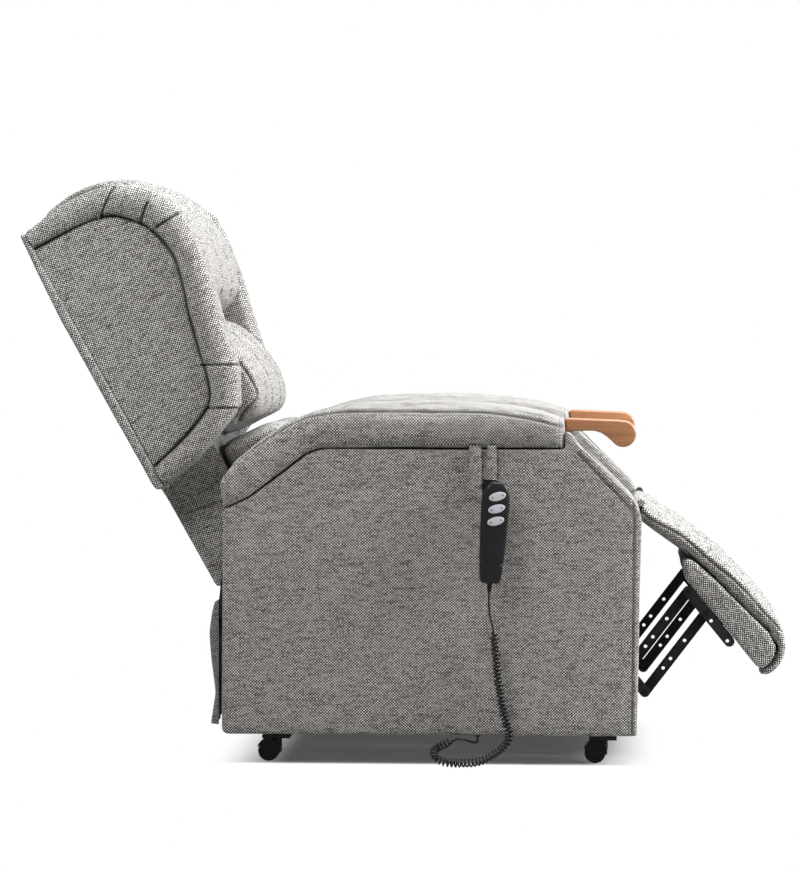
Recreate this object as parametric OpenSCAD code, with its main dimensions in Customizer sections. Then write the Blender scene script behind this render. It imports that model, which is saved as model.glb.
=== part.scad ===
// Rise and recline chair: an upholstered wing chair on a powered lifting base.
// +X is the way the sitter faces, +Y the sitter's left, +Z up, and Z = 0 is the floor.
// Every piece stands where it is with the chair lowered, half reclined and the legrest half out.

/* [Seat] */
// Clear width between the arms
seat_w = 508; // [480:1:560]
// Height of the seat deck's underside
deck_z = 368; // [360:1:372]
// Thickness of the seat deck
deck_t = 16; // [12:1:18]
// Height of the seat cushion at its front
cushion_t = 84; // [76:1:88]

/* [Arms] */
// Width of one arm box
arm_w = 118; // [110:1:140]
// How far the arm pad stands out past the side panel
pad_overhang = 10; // [4:1:16]
// Rear face of the arms
arm_rear_x = -327; // [-335:1:-320]
// Front face of the arms at the floor end
arm_front_x = 421; // [419:1:430]
// Lower edge of the side panels
panel_z = 52; // [52:1:60]
// Height of the arm pad's underside
pad_z = 567; // [565:1:569]
// Thickness of the outer side panel
side_t = 22; // [16:1:26]
// Thickness of the inner arm panel
inner_t = 14; // [10:1:18]
// Depth of the front border that wraps the arm box
border_t = 14; // [10:1:18]
// Width of a wooden knuckle handle
knuckle_w = 64; // [50:1:80]

/* [Base] */
// Half distance between the base rails
rail_y = 200; // [198:1:202]
// Width of a base or chassis tube
tube_w = 30; // [26:1:30]
// Height of a base tube
base_tube_h = 25; // [20:1:27]
// Thickness of the castor plates
castor_plate_t = 6; // [5:1:7]
// Castor wheel diameter
castor_d = 38; // [34:1:39]
// Half distance between left and right castors
castor_y = 320; // [300:1:328]
// Castor stem, rear pair
castor_rear_x = -231; // [-236:1:-226]
// Castor stem, front pair
castor_front_x = 360; // [350:1:368]
// How far a castor wheel trails its stem
castor_trail = 14; // [12:1:16]

/* [Lift] */
// Thickness of the lift arms and links
arm_t = 6; // [5:1:6]
// Width of the lift arms
lift_arm_w = 24; // [20:1:26]
// Diameter of the lift torque tube
torque_d = 26; // [22:1:28]

/* [Legrest] */
// Slope of the legrest below the horizontal
legrest_slope = 50.8; // [45:0.1:55]
// Length of the legrest board
board_len = 244; // [236:1:246]
// Thickness of the legrest board
board_t = 47; // [40:1:50]
// Thickness of the legrest link bars
link_t = 5; // [4:0.5:5]
// Width of the legrest link bars
link_w = 19; // [16:1:22]
// Spacing of the two pivots along the legrest bracket
pivot_gap = 51; // [45:1:55]

/* [Back] */
// Lean of the backrest behind the vertical
back_lean = 29; // [25:0.5:32]
// Width of the backrest core
back_w = 480; // [460:1:482]
// Thickness of a wing
wing_t = 66; // [56:1:68]
// Clearance between a wing and the pillows
wing_gap = 6; // [4:1:10]
// Half width of a pillow
pillow_y = 250; // [240:1:251]
// Distance from the middle to a pillow's sewn channel
channel_y = 84; // [70:1:95]

/* [Handset] */
// Handset width
hand_w = 50; // [46:1:54]
// Handset thickness
hand_t = 26; // [24:1:28]
// Handset length
hand_l = 172; // [165:1:176]
// Length of a rocker key
key_l = 31; // [26:1:33]
// Width of a rocker key
key_w = 16; // [12:1:17]

/* [Cord] */
// Outside diameter of the curly cord
coil_d = 16; // [15:0.5:17]
// Diameter of the cord itself
wire_d = 3.4; // [3:0.1:3.6]
// Number of curls
curls = 58; // [50:1:60]

/* [Hidden] */
$fn = 48;
clear = 0.3;
run = 0.05;
fabric = [0.52, 0.51, 0.49];
fabric_dark = [0.44, 0.43, 0.41];
steel = [0.10, 0.10, 0.11];
zinc = [0.66, 0.67, 0.68];
plastic = [0.07, 0.07, 0.08];
beech = [0.72, 0.42, 0.20];
board_wood = [0.74, 0.62, 0.44];
alloy = [0.70, 0.71, 0.72];
grey_key = [0.70, 0.72, 0.73];

// Layers across the chair, measured outwards from its middle
arm_in = seat_w / 2;
arm_out = arm_in + arm_w;
pad_out = arm_out + pad_overhang;
wing_in = pillow_y + wing_gap + 2;
wing_out = wing_in + wing_t;
plate_y = arm_in - 6;
plate_t = 4;
link_y = plate_y - 2;
inner_link_y = link_y - link_t - 1;
ear_y = rail_y - tube_w / 2;
ear_t = 6;
lug_y = 12;
lug_t = 5;
lift_arm_y = ear_y + ear_t + 1;
lift_link_y = ear_y - arm_t - 1;

// Heights
plate_z = castor_d + 4;
base_z = plate_z + castor_plate_t;
base_top = base_z + base_tube_h;
chassis_z = 145;
chassis_top = chassis_z + tube_w;
seat_z = deck_z + deck_t;

// Pivots in the side view: [x, z]
lift_pivot = [-262, 92];
lift_tip = [120, 92];
link_pivot = [-189, 122];
link_tip = [151, 112.6];
lift_motor_pivot = [288, 88];
lift_crank = [-196, 180];
crank_slack = 7.8;
hinge = [-310, 380];
back_crank = [-30, -75];
back_motor_pivot = [0, 300];
back_slack = 4;
knee = [428, 466];
board_top = 22;
bracket_rear = [180, board_top - board_t - clear - link_w / 2];
bracket_front = bracket_rear + [pivot_gap, 0];
elbow_drop = [-111, -145];
leg_crank_r = 65;
drive_y = 60;
pin_r = 5;
rivet_r = 5;
knee_pin_r = 4;
link_slack = 0.8;
elbow_slack = 0.4;
mid_tube_x = 40;
front_tube_x = 330;
rear_tube_x = -290;
motor_tube_x = lift_motor_pivot.x - tube_w / 2;
deck_front = 400;
rear_rail_x = -345;
rear_rail_z = 255;
rear_rail_h = 22;

// The legrest links form a parallelogram: these follow from the knee and the bracket
function turned(p, a) = [p.x * cos(a) + p.y * sin(a), -p.x * sin(a) + p.y * cos(a)];
function at_legrest(p) = knee + turned(p, legrest_slope);
function at_back(p) = hinge + turned(p, -back_lean);
lower_pivot = knee + elbow_drop;
rear_joint = at_legrest(bracket_rear);
front_joint = at_legrest(bracket_front);
rear_elbow = rear_joint + elbow_drop;
front_elbow = front_joint + elbow_drop;
leg_pin = lower_pivot + [0, -leg_crank_r];
back_pin = at_back(back_crank);

// Castor places: [x, y]
castor_places = [[castor_rear_x, -castor_y], [castor_rear_x, castor_y],
                 [castor_front_x, -castor_y], [castor_front_x, castor_y]];

// Side outlines as [x, z], anticlockwise seen from the right
pad_under = [[arm_rear_x + 2, pad_z - 111], [-277, pad_z - 88], [-211, pad_z - 39],
             [-172, pad_z - 9], [-146, pad_z]];
pad_end_x = 292;
front_slope = [[arm_front_x + 8, 440], [arm_front_x + 3, 462], [arm_front_x - 10, 484],
               [318, 575], [pad_end_x + 8, 598]];
pad_outline = concat(pad_under, [[pad_end_x, pad_z], [pad_end_x, 601], [290, 621], [255, 634],
    [212, 642], [154, 648], [69, 650], [-90, 650], [-159, 635], [-207, 616], [-259, 581],
    [-303, 545], [arm_rear_x - 6, 505]]);
seat_outline = [[-158, seat_z + clear], [395, seat_z + clear], [404, seat_z + 16],
    [404, seat_z + 56], [394, seat_z + cushion_t - 10], [368, seat_z + cushion_t],
    [300, seat_z + cushion_t + 2], [100, seat_z + cushion_t - 6], [-100, seat_z + cushion_t - 20],
    [-150, seat_z + cushion_t - 30], [-163, seat_z + 34]];
board_x = 132;
board_end = board_x + board_len;
board_low = board_top - board_t;
// The board's upper edge and its front end, which the chaise pad lies on and wraps
board_crown = [[board_x + 16, 8], [board_x + 60, 15.5], [board_x + 150, 25], [board_end - 46, 30],
    [board_end - 17, 24.5], [board_end - 4, 8], [board_end, -10], [board_end - 2, board_low + 5]];
crown_end = len(board_crown) - 1;
board_outline = concat([for (i = [crown_end:-1:0]) board_crown[i]], [[board_x + 2, 3], [board_x, -6],
    [board_x + 8, board_low + 8], [board_x + 28, board_low], [board_end - 12, board_low]]);
board_skin = drawn_in(board_outline, -clear - 0.2);
chaise_outline = concat([[-12, -9], [-7, -20], [8, -25], [30, -21], [56, -14], [109, 1]],
    [for (i = [crown_end:-1:0]) board_skin[i]], [[board_end + 4, board_low - 6],
    [board_end + 14, board_low - 8], [board_end + 22, board_low + 1], [board_end + 24, -8],
    [board_end + 20, 14], [board_end + 3, 40], [350, 56], [325, 60], [236, 58.5], [180, 53], [133, 43],
    [78, 29], [44, 16], [16, 9], [-6, 4]]);
board_rear_t = 20.4;
core_front = 54;
hinge_plate_t = 4;
core_top = 685;
head_outline = [[core_front + clear, 416], [120, 413], [176, 419], [199, 436], [212, 470], [219, 505],
    [222, 545], [218, 591], [203, 638], [165, 687], [133, 706], [103, 717], [76, 721],
    [48, 721], [16, 721], [-10, 719], [-27, 709], [-27, core_top + clear],
    [core_front + clear, core_top + clear]];
// A point that the whole of the head pillow's end can be seen from
head_hub = [core_front + 26, core_top + 18];
lumbar_outline = [[core_front + clear, 198], [118, 196], [156, 192], [174, 202], [189, 230], [195, 263],
    [191, 302], [179, 347], [163, 383], [144, 402], [106, 407], [core_front + clear, 403]];
lower_outline = [[core_front + clear, 56], [140, 50], [172, 60], [188, 96], [192, 136],
    [182, 168], [150, 178], [core_front + clear, 182]];
wing_rear = -53.7;
wing_outline = [[wing_rear, 161], [25, 177], [57, 189], [122, 217], [138, 228], [169, 283],
    [174, 308], [188, 380], [208, 469], [215, 528], [217, 562], [215, 589], [202, 624],
    [187, 647], [159, 672], [133, 690], [84, 701], [42, 703], [-2, 700], [wing_rear, 692]];

// ---- Shared shapes ----

// A drawing in the side view, given thickness from y to y + t
module slab(y, t) {
    translate([0, y + t, 0]) rotate([90, 0, 0]) linear_extrude(t) children();
}

module both_sides() {
    children();
    mirror([0, 1, 0]) children();
}

// A flat bar with round ends; its straight sides sit a hair inside the ends' diameter
module bar(a, b, w) {
    d = b - a;
    side = w - 0.06;
    translate(a) circle(d = w);
    translate(b) circle(d = w);
    translate(a) rotate(atan2(d.y, d.x)) translate([0, -side / 2]) square([norm(d), side]);
}

module cross_pin(p, y0, y1, r) {
    translate([p.x, y1, p.y]) rotate([90, 0, 0]) cylinder(r = r, h = y1 - y0);
}

module stadium(l, w) {
    for (s = [-1, 1]) translate([s * (l - w) / 2, 0]) circle(d = w);
    square([l - w, w], center = true);
}

module round_box(size, r) {
    linear_extrude(size.z) {
        for (x = [r, size.x - r], y = [r, size.y - r]) translate([x, y]) circle(r);
        translate([r, 0]) square([size.x - 2 * r, size.y]);
        translate([0, r]) square([size.x, size.y - 2 * r]);
    }
}

module in_back() translate([hinge.x, 0, hinge.y]) rotate([0, -back_lean, 0]) children();

module in_legrest() translate([knee.x, 0, knee.y]) rotate([0, legrest_slope, 0]) children();

// ---- Lofted soft forms ----

function unit(v) = v / max(norm(v), 0.0001);
function inward(a, b) = unit([a.y - b.y, b.x - a.x]);
// An anticlockwise outline drawn in by d along its corner bisectors
function drawn_in(pts, d) = let (n = len(pts)) [for (i = [0:n - 1])
    let (a = inward(pts[(i + n - 1) % n], pts[i]), b = inward(pts[i], pts[(i + 1) % n]),
         m = unit(a + b)) pts[i] + m * d / max(m * a, 0.6)];
function ring_at(pts, y) = [for (p = pts) [p.x, y, p.y]];
function middle(r) = [for (k = [0:2]) [for (p = r) p[k]] * [for (p = r) 1] / len(r)];

// Triangles over an end ring: a fan round a point inside it, or rungs between its two long sides
function fan(n, hub) = [for (i = [0:n - 1]) [i, (i + 1) % n, hub]];
function rungs(n) = [for (i = [0:ceil(n / 2) - 2]) each i + 1 == n - 2 - i ? [[i, i + 1, n - 1 - i]]
    : [[i, i + 1, n - 1 - i], [i + 1, n - 2 - i, n - 1 - i]]];

// Closed skin over rings of equal count; the rings advance along +Y
module loft(rings, hub, banded = false) {
    n = len(rings[0]);
    m = len(rings);
    last = (m - 1) * n;
    hubs = [for (r = [rings[0], rings[m - 1]]) is_undef(hub) ? middle(r) : [hub.x, r[0].y, hub.y]];
    near_cap = banded ? rungs(n) : fan(n, m * n);
    far_cap = banded ? rungs(n) : fan(n, m * n + 1 - last);
    polyhedron(concat([for (r = rings) each r], banded ? [] : hubs), concat(
        [for (j = [0:m - 2], i = [0:n - 1]) [j * n + i, j * n + (i + 1) % n, (j + 1) * n + i]],
        [for (j = [0:m - 2], i = [0:n - 1])
            [j * n + (i + 1) % n, (j + 1) * n + (i + 1) % n, (j + 1) * n + i]],
        [for (t = near_cap) [t[2], t[1], t[0]]],
        [for (t = far_cap) t + [last, last, last]]));
}

// Padded form: an outline swept over stations [y, how far the outline is drawn in]
module padded(pts, stations, hub, banded = false)
    loft([for (s = stations) ring_at(drawn_in(pts, s[1]), s[0])], hub, banded);

// Stations of a cushion with two sewn channels
function channelled(y, side, dip) = let (c = channel_y) [[-y, side], [-y + 8, side * 0.4],
    [-(y + c) / 2, 0], [-c - 12, 3], [-c, dip], [-c + 12, 3], [0, 0], [c - 12, 3], [c, dip], [c + 12, 3],
    [(y + c) / 2, 0], [y - 8, side * 0.4], [y, side]];

function plain_pad(y, side) = [[-y, side], [-y + 7, side * 0.4], [-y + 40, side * 0.08], [0, 0],
    [y - 40, side * 0.08], [y - 7, side * 0.4], [y, side]];

// ---- Base ----

module castor_hole(p) translate([p.x, p.y, plate_z - 1]) cylinder(r = 5 + run, h = castor_plate_t + 2);

module base_frame() color(steel) difference() {
    rear_x = castor_rear_x - 25;
    front_x = castor_front_x + 25;
    union() {
        for (y = [-rail_y, rail_y])
            translate([rear_x, y - tube_w / 2, base_z]) cube([front_x - rear_x, tube_w, base_tube_h]);
        for (x = [castor_rear_x - tube_w / 2, motor_tube_x])
            translate([x, -rail_y, base_z]) cube([tube_w, 2 * rail_y, base_tube_h]);
        for (x = [castor_rear_x, castor_front_x])
            translate([x - 25, -castor_y - 25, plate_z]) cube([50, 2 * castor_y + 50, castor_plate_t]);
        both_sides() slab(ear_y, ear_t) {
            bar(lift_pivot, [lift_pivot.x + 10, base_top - 5], 40);
            bar(link_pivot, [link_pivot.x - 10, base_top - 5], 30);
            translate([lift_pivot.x - 10, base_top - 5]) square([83, 25]);
        }
        both_sides() slab(lug_y, lug_t) {
            translate(lift_motor_pivot) circle(r = 12);
            translate([lift_motor_pivot.x - 12, base_top - 2])
                square([24, lift_motor_pivot.y - base_top + 2]);
        }
    }
    for (p = castor_places) castor_hole(p);
    cross_pin(lift_pivot, -rail_y, rail_y, torque_d / 2 + run);
    cross_pin(link_pivot, -rail_y, rail_y, pin_r + run);
    cross_pin(lift_motor_pivot, -40, 40, pin_r + run);
}

module pivot_bolt(p, y0, y1) {
    cross_pin(p, y0, y1, pin_r);
    cross_pin(p, y0 - 4, y0, 8.5);
    cross_pin(p, y1, y1 + 5, 8.5);
}

// A stud that ends flush in one plate and has its head beyond the other
module pivot_stud(p, flush_y, head_y) {
    d = head_y > flush_y ? 4 : -4;
    cross_pin(p, min(flush_y, head_y), max(flush_y, head_y), pin_r);
    cross_pin(p, min(head_y, head_y + d), max(head_y, head_y + d), 8.5);
}

module base_bolts() color(zinc) {
    both_sides() pivot_stud(link_pivot, ear_y + ear_t, lift_link_y - clear);
    pivot_bolt(lift_motor_pivot, -lug_y - lug_t - clear, lug_y + lug_t + clear);
}

module castor_fork(p) {
    wheel = [p.x - castor_trail, castor_d / 2];
    hood_r = castor_d / 2 + 2.8;
    translate([0, p.y, 0]) {
        color(plastic) difference() {
            union() {
                cross_pin(wheel, -17, 17, hood_r);
                translate([p.x, 0, castor_d / 2 + 4]) cylinder(r = 9, h = plate_z - clear - castor_d / 2 - 4);
            }
            for (s = [-1, 1]) translate([0, s * 10.5, 0])
                cross_pin(wheel, -7.5, 7.5, castor_d / 2 + 0.8);
            translate([wheel.x - 30, -20, -10]) cube([60, 40, castor_d / 2 + 10 - 4]);
            translate([wheel.x - 30, -20, -1]) cube([30 - 17, 40, castor_d / 2 + 8]);
            translate([p.x, 0, 0]) cylinder(r = 5, h = plate_z);
        }
        color(zinc) {
            cross_pin(wheel, -17, 17, 3);
            translate([p.x, 0, castor_d - 1]) cylinder(r = 5, h = base_z + 1.5 - castor_d + 1);
        }
    }
}

module castor_wheels(p) color(plastic) for (s = [-1, 1]) translate([0, p.y + s * 10.2, 0])
    difference() {
        cross_pin([p.x - castor_trail, castor_d / 2], -6.4, 6.4, castor_d / 2);
        cross_pin([p.x - castor_trail, castor_d / 2], -8, 8, 3 + run);
        translate([0, s * 6.4, 0]) cross_pin([p.x - castor_trail, castor_d / 2], -2, 2, 13);
    }
module castor_fork_rear_right() castor_fork(castor_places[0]);
module castor_fork_rear_left() castor_fork(castor_places[1]);
module castor_fork_front_right() castor_fork(castor_places[2]);
module castor_fork_front_left() castor_fork(castor_places[3]);
module castor_wheels_rear_right() castor_wheels(castor_places[0]);
module castor_wheels_rear_left() castor_wheels(castor_places[1]);
module castor_wheels_front_right() castor_wheels(castor_places[2]);
module castor_wheels_front_left() castor_wheels(castor_places[3]);

// ---- Lift ----

module lift_arms() color(steel) {
    both_sides() slab(lift_arm_y, arm_t) difference() {
        bar(lift_pivot, lift_tip, lift_arm_w);
        translate(lift_tip) circle(r = pin_r + run);
    }
    cross_pin(lift_pivot, -lift_arm_y, lift_arm_y, torque_d / 2);
    slab(-4, 8) difference() {
        union() {
            bar(lift_pivot, lift_crank, 34);
            translate(lift_crank) circle(r = pin_r + crank_slack + 8);
        }
        translate(lift_crank) circle(r = pin_r + crank_slack);
        translate(lift_pivot) circle(d = torque_d);
    }
}

module lift_links() color(steel) both_sides() slab(lift_link_y, arm_t) difference() {
    bar(link_pivot, link_tip, 20);
    translate(link_pivot) circle(r = pin_r + run);
    translate(link_tip) circle(r = pin_r + link_slack);
}

// A linear actuator from its rear pivot a towards its rod pin b
module actuator(a, b, y, reach) {
    d = b - a;
    translate([a.x, y, a.y]) rotate([0, -atan2(d.y, d.x), 0]) {
        color(plastic) difference() {
            union() {
                translate([0, 11, 0]) rotate([90, 0, 0]) cylinder(r = 11, h = 22);
                translate([0, -11, -11]) cube([30, 22, 22]);
                translate([28, -28, -22]) cube([62, 56, 44]);
                translate([88, 0, 0]) rotate([0, 90, 0]) cylinder(r = 17, h = reach - 88);
            }
            translate([0, 30, 0]) rotate([90, 0, 0]) cylinder(r = pin_r + run, h = 60);
            translate([100, 0, 0]) rotate([0, 90, 0]) cylinder(r = 10.6, h = reach);
        }
        color(steel) translate([92, -49, 0]) rotate([0, 90, 0]) cylinder(r = 20, h = 86);
        color(plastic) translate([28, -69.5, -21]) cube([65, 42, 42]);
    }
}

// The rod of an actuator, with a fork that straddles a tab and carries its pin
module actuator_rod(a, b, y, tab, root) {
    d = b - a;
    l = norm(d);
    translate([a.x, y, a.y]) rotate([0, -atan2(d.y, d.x), 0]) {
        color(zinc) translate([root, 0, 0]) rotate([0, 90, 0]) cylinder(r = 10, h = l - root - 34);
        color(zinc) difference() {
            translate([l - 34, -tab / 2 - 7, -12]) cube([34, tab + 14, 24]);
            translate([l - 24, -tab / 2 - 1, -13]) cube([40, tab + 2, 26]);
        }
        color(zinc) for (s = [-1, 1]) translate([l, s * (tab / 2 + 4) + 3, 0])
            rotate([90, 0, 0]) cylinder(r = 12, h = 6);
        color(zinc) translate([l, tab / 2 + 9, 0]) rotate([90, 0, 0])
            cylinder(r = pin_r, h = tab + 18);
    }
}

module lift_motor() actuator(lift_motor_pivot, lift_crank, 0, 310);
module lift_rod() actuator_rod(lift_motor_pivot, lift_crank, 0, 8, 130);

// ---- Chassis ----

module chassis_frame() color(steel) difference() {
    union() {
        for (y = [-rail_y, rail_y])
            translate([rear_tube_x, y - tube_w / 2, chassis_z]) cube([370 - rear_tube_x, tube_w, tube_w]);
        translate([rear_tube_x, -arm_in, chassis_z]) cube([tube_w, 2 * arm_in, tube_w]);
        translate([mid_tube_x, -arm_in, chassis_top]) cube([tube_w, 2 * arm_in, tube_w]);
        translate([front_tube_x, -rail_y, chassis_z]) cube([tube_w, 2 * rail_y, tube_w]);
        both_sides() slab(plate_y, plate_t) {
            polygon([[-300, chassis_z], [85, chassis_z], [lower_pivot.x - 27, 296],
                [lower_pivot.x + 28, 296], [deck_front, deck_z - tube_w], [deck_front, deck_z],
                [hinge.x + 48, deck_z], [hinge.x + 22, hinge.y + 17], [hinge.x - 22, hinge.y + 17],
                [rear_rail_x, rear_rail_z + rear_rail_h], [rear_rail_x, rear_rail_z],
                [-300, rear_rail_z - 30]]);
            bar([deck_front - 10, deck_z - 10], knee, 2 * knee_pin_r + 5);
        }
        both_sides() slab(ear_y, ear_t) {
            bar(lift_tip, lift_tip + [-4, 60], 32);
            bar(link_tip, link_tip + [4, 40], 28);
        }
        translate([rear_rail_x, -plate_y, rear_rail_z]) cube([12, 2 * plate_y, rear_rail_h]);
        for (x = [back_motor_pivot.x - tube_w / 2, deck_front - tube_w - 8])
            translate([x, -plate_y, deck_z - tube_w]) cube([tube_w, 2 * plate_y, tube_w]);
        both_sides() slab(lug_y, lug_t) {
            translate([back_motor_pivot.x - 14, back_motor_pivot.y])
                square([28, deck_z - tube_w / 2 - back_motor_pivot.y]);
            translate(back_motor_pivot) circle(r = 14);
        }
    }
    cross_pin(lift_tip, -rail_y, rail_y, pin_r + run);
    cross_pin(link_tip, -rail_y, rail_y, pin_r + run);
    cross_pin(lower_pivot, -arm_in, arm_in, pin_r + run);
    cross_pin(hinge, -arm_in, arm_in, pin_r + run);
    cross_pin(knee, -arm_in, arm_in, knee_pin_r + run);
    cross_pin(back_motor_pivot, -40, 40, pin_r + run);
}

module chassis_bolts() color(zinc) {
    both_sides() {
        pivot_stud(lift_tip, ear_y, lift_arm_y + arm_t + clear);
        pivot_stud(link_tip, ear_y + ear_t, lift_link_y - clear);
    }
    pivot_bolt(back_motor_pivot, -lug_y - lug_t - clear, lug_y + lug_t + clear);
}

module seat_deck() color(board_wood) {
    rear = hinge.x + 62;
    half = plate_y - 1;
    translate([rear, -half, deck_z]) cube([deck_front - rear, 2 * half, deck_t]);
}

module seat_cushion() color(fabric) padded(seat_outline, plain_pad(plate_y - 1, 14));

// ---- Arms: every module draws the right arm, and both_sides or mirror gives the left ----

front_edge = concat([[arm_front_x, panel_z]], front_slope);
border_edge = [for (i = [1:4]) drawn_in(concat(front_edge, [[arm_rear_x, pad_z]]), border_t)[i]];
seam_top = [border_edge[3].x - 2, pad_z];
side_edge = concat([[arm_rear_x, panel_z + 6], [arm_rear_x + 8, panel_z], [arm_front_x - border_t, panel_z]],
    [for (i = [0:2]) border_edge[i]], [seam_top], [for (i = [4:-1:0]) pad_under[i]]);

module arm_side_2d() polygon(side_edge);

module side_panel() color(fabric) slab(-arm_out, side_t) arm_side_2d();

module inner_panel() color(fabric_dark) slab(-arm_in - inner_t, inner_t) difference() {
    arm_side_2d();
    translate([arm_rear_x - 1, panel_z - 1]) square([arm_front_x - arm_rear_x, 50]);
}

module arm_border() color(fabric) slab(-arm_out, arm_w) polygon(concat(
    [[arm_front_x - border_t, panel_z]], front_edge, [[pad_end_x + clear, front_slope[4].y],
    [pad_end_x + clear, pad_z], seam_top], [for (i = [2:-1:0]) border_edge[i]]));

module arm_pad() color(fabric) padded(pad_outline, [[-pad_out, 26], [-pad_out + 3, 12],
    [-pad_out + 14, 3], [-arm_out + 30, 0], [-arm_in - 40, 0], [-arm_in - 6, 6],
    [-arm_in + 2, 22]], banded = true);

// A handle with a tenon that is glued into the arm's front end
module knuckle() color(beech) {
    mid = -(arm_in + arm_out) / 2;
    translate([pad_end_x - 45, mid - 20, front_slope[4].y + 5]) cube([50, 40, 14]);
    slab(mid - knuckle_w / 2, knuckle_w) knuckle_2d();
}

module knuckle_2d() {
    neck = pad_end_x + clear;
    seat = front_slope[4].y;
    knob = [395.5, 594];
    knob_r = 23.5;
    polygon([[neck, seat], [330, seat + 2], [344, seat + 1.5], [355, seat - 1.5], [366, seat - 8.5],
        [knob.x - 13, knob.y - 19], knob, knob + [1, knob_r - 0.2], [386, seat + 20.4], [neck, seat + 24]]);
    translate(knob) circle(r = knob_r);
}

// A plywood web with full-width rails; the sitter's weight on an arm goes down through it
module arm_frame() color(board_wood) {
    y0 = -arm_out + side_t;
    w = arm_w - side_t - inner_t;
    x0 = arm_rear_x + 10;
    translate([x0, y0, panel_z]) cube([arm_front_x - border_t - x0, w, 30]);
    translate([-140, y0, pad_z - 30]) cube([400, w, 30]);
    translate([x0, y0, panel_z + 30]) cube([14, w, 360]);
    slab(y0 + w / 2 - 6, 12) polygon([[x0, panel_z + 20], [arm_front_x - border_t - 6, panel_z + 20],
        [arm_front_x - border_t - 6, 440], [260, pad_z - 10], [-140, pad_z - 10], [x0, panel_z + 385]]);
}

module side_panel_right() side_panel();
module side_panel_left() mirror([0, 1, 0]) side_panel();
module inner_panel_right() inner_panel();
module inner_panel_left() mirror([0, 1, 0]) inner_panel();
module arm_border_right() arm_border();
module arm_border_left() mirror([0, 1, 0]) arm_border();
module arm_pad_right() arm_pad();
module arm_pad_left() mirror([0, 1, 0]) arm_pad();
module knuckle_right() knuckle();
module knuckle_left() mirror([0, 1, 0]) knuckle();
module arm_frames() both_sides() arm_frame();

// ---- Rear curtain, electrics ----

flap_t = 3;
flap_top = rear_rail_z + rear_rail_h + 4;
flap_drop = flap_top - panel_z - 4;
flap_folds = 4;
flap_hang = rear_rail_x - clear;
// How far the cloth stands out behind the rail: k runs from 0 at its top to 1 at the hem
flap_outer = [[0, 9], [0.06, 14], [0.25, 19], [0.46, 15], [0.74, 6], [1, 14]];
flap_inner = [[0, 0], [0.12, 0], [0.25, 19 - flap_t], [0.46, 15 - flap_t], [0.74, 6 - flap_t],
    [1, 14 - flap_t]];
function flap_fold(y, k) = 4 * k * sin(360 * flap_folds * y / (2 * plate_y));
function flap_side(y, face) = [for (f = face) [flap_hang - f[1] - (f[0] > 0.12 ? flap_fold(y, f[0]) : 0), y,
    flap_top - flap_drop * f[0]]];
module rear_flap() color(fabric_dark) loft([for (j = [-8:8]) let (y = (plate_y - 1) * j / 8)
    concat(flap_side(y, flap_outer), flap_side(y, [for (i = [5:-1:0]) flap_inner[i]]))], banded = true);

module control_box() {
    color(plastic) translate([rear_tube_x + 4, 60, chassis_top]) round_box([118, 96, 44], 6);
    color(steel) translate([rear_tube_x - 8, 84, chassis_top + 8]) cube([12, 30, 24]);
}

// A strap sewn into the seam under the arm pad; the handset's hook goes through it
strand_x = [[120, 142], [153, 169]];
strap_y = -pad_out + 1;
strap_t = 3;
strap_bend = 500;
strap_top = pad_z + 8;
module strap_2d(x0, x1) {
    translate([x0, strap_bend]) square([x1 - x0, strap_top - strap_bend]);
    translate([(x0 + x1) / 2, strap_bend]) circle(d = x1 - x0);
}
module handset_loop() color(fabric) {
    slab(strap_y, strap_t) difference() {
        strap_2d(strand_x[0][0], strand_x[1][1]);
        translate([0, 0.1]) strap_2d(strand_x[0][1], strand_x[1][0]);
    }
    for (s = strand_x) translate([s[0], strap_y, strap_top - strap_t]) cube([s[1] - s[0], 16, strap_t]);
}

gland = [134, -arm_out + side_t + 12];
module cable_gland() color(plastic) translate([gland.x, gland.y, panel_z]) mirror([0, 0, 1]) {
    cylinder(r = 8, h = 2);
    cylinder(r = 4.5, h = 5);
}

// ---- Legrest drive ----

track_z = leg_pin.y - 42;
track_l = 350;
module leg_motor() translate([0, drive_y, 0]) {
    color(alloy) difference() {
        translate([mid_tube_x, -20, track_z]) cube([track_l, 40, 16]);
        translate([mid_tube_x + 10, -12, track_z + 4]) cube([track_l - 20, 24, 13]);
    }
    color(plastic) translate([mid_tube_x - 80, -35, track_z - 16]) round_box([80, 70, 48], 6);
    color(steel) for (p = [[mid_tube_x + 5, chassis_top + tube_w], [front_tube_x + 5, chassis_top]])
        translate([p.x, -15, p.y]) cube([20, 30, track_z - p.y]);
}

module leg_drive_block() translate([leg_pin.x, drive_y, 0]) {
    color(plastic) translate([-25, -19, track_z + 16 + clear]) cube([50, 38, 8]);
    color(steel) both_sides() slab(8, 5) difference() {
        translate([-16, track_z + 24 + clear]) square([32, 56]);
        translate([-7, leg_pin.y - 8]) square([14, 34]);
        translate([0, leg_pin.y - 8]) circle(r = 7);
        translate([0, leg_pin.y + 26]) circle(r = 7);
    }
}

module lower_links() color(steel) {
    both_sides() slab(link_y - link_t, link_t) difference() {
        union() {
            bar(lower_pivot, rear_elbow, link_w);
            bar(rear_elbow, front_elbow, link_w);
        }
        translate(rear_elbow) circle(r = rivet_r + elbow_slack);
        translate(front_elbow) circle(r = rivet_r + elbow_slack);
    }
    both_sides() cross_pin(lower_pivot, link_y, plate_y + plate_t, pin_r);
    cross_pin(lower_pivot, -link_y + link_t, link_y - link_t, 12.5);
    translate([0, drive_y, 0]) {
        slab(-3, 6) bar(lower_pivot, leg_pin, 22);
        cross_pin(leg_pin, -16, 16, pin_r);
    }
}

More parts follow.
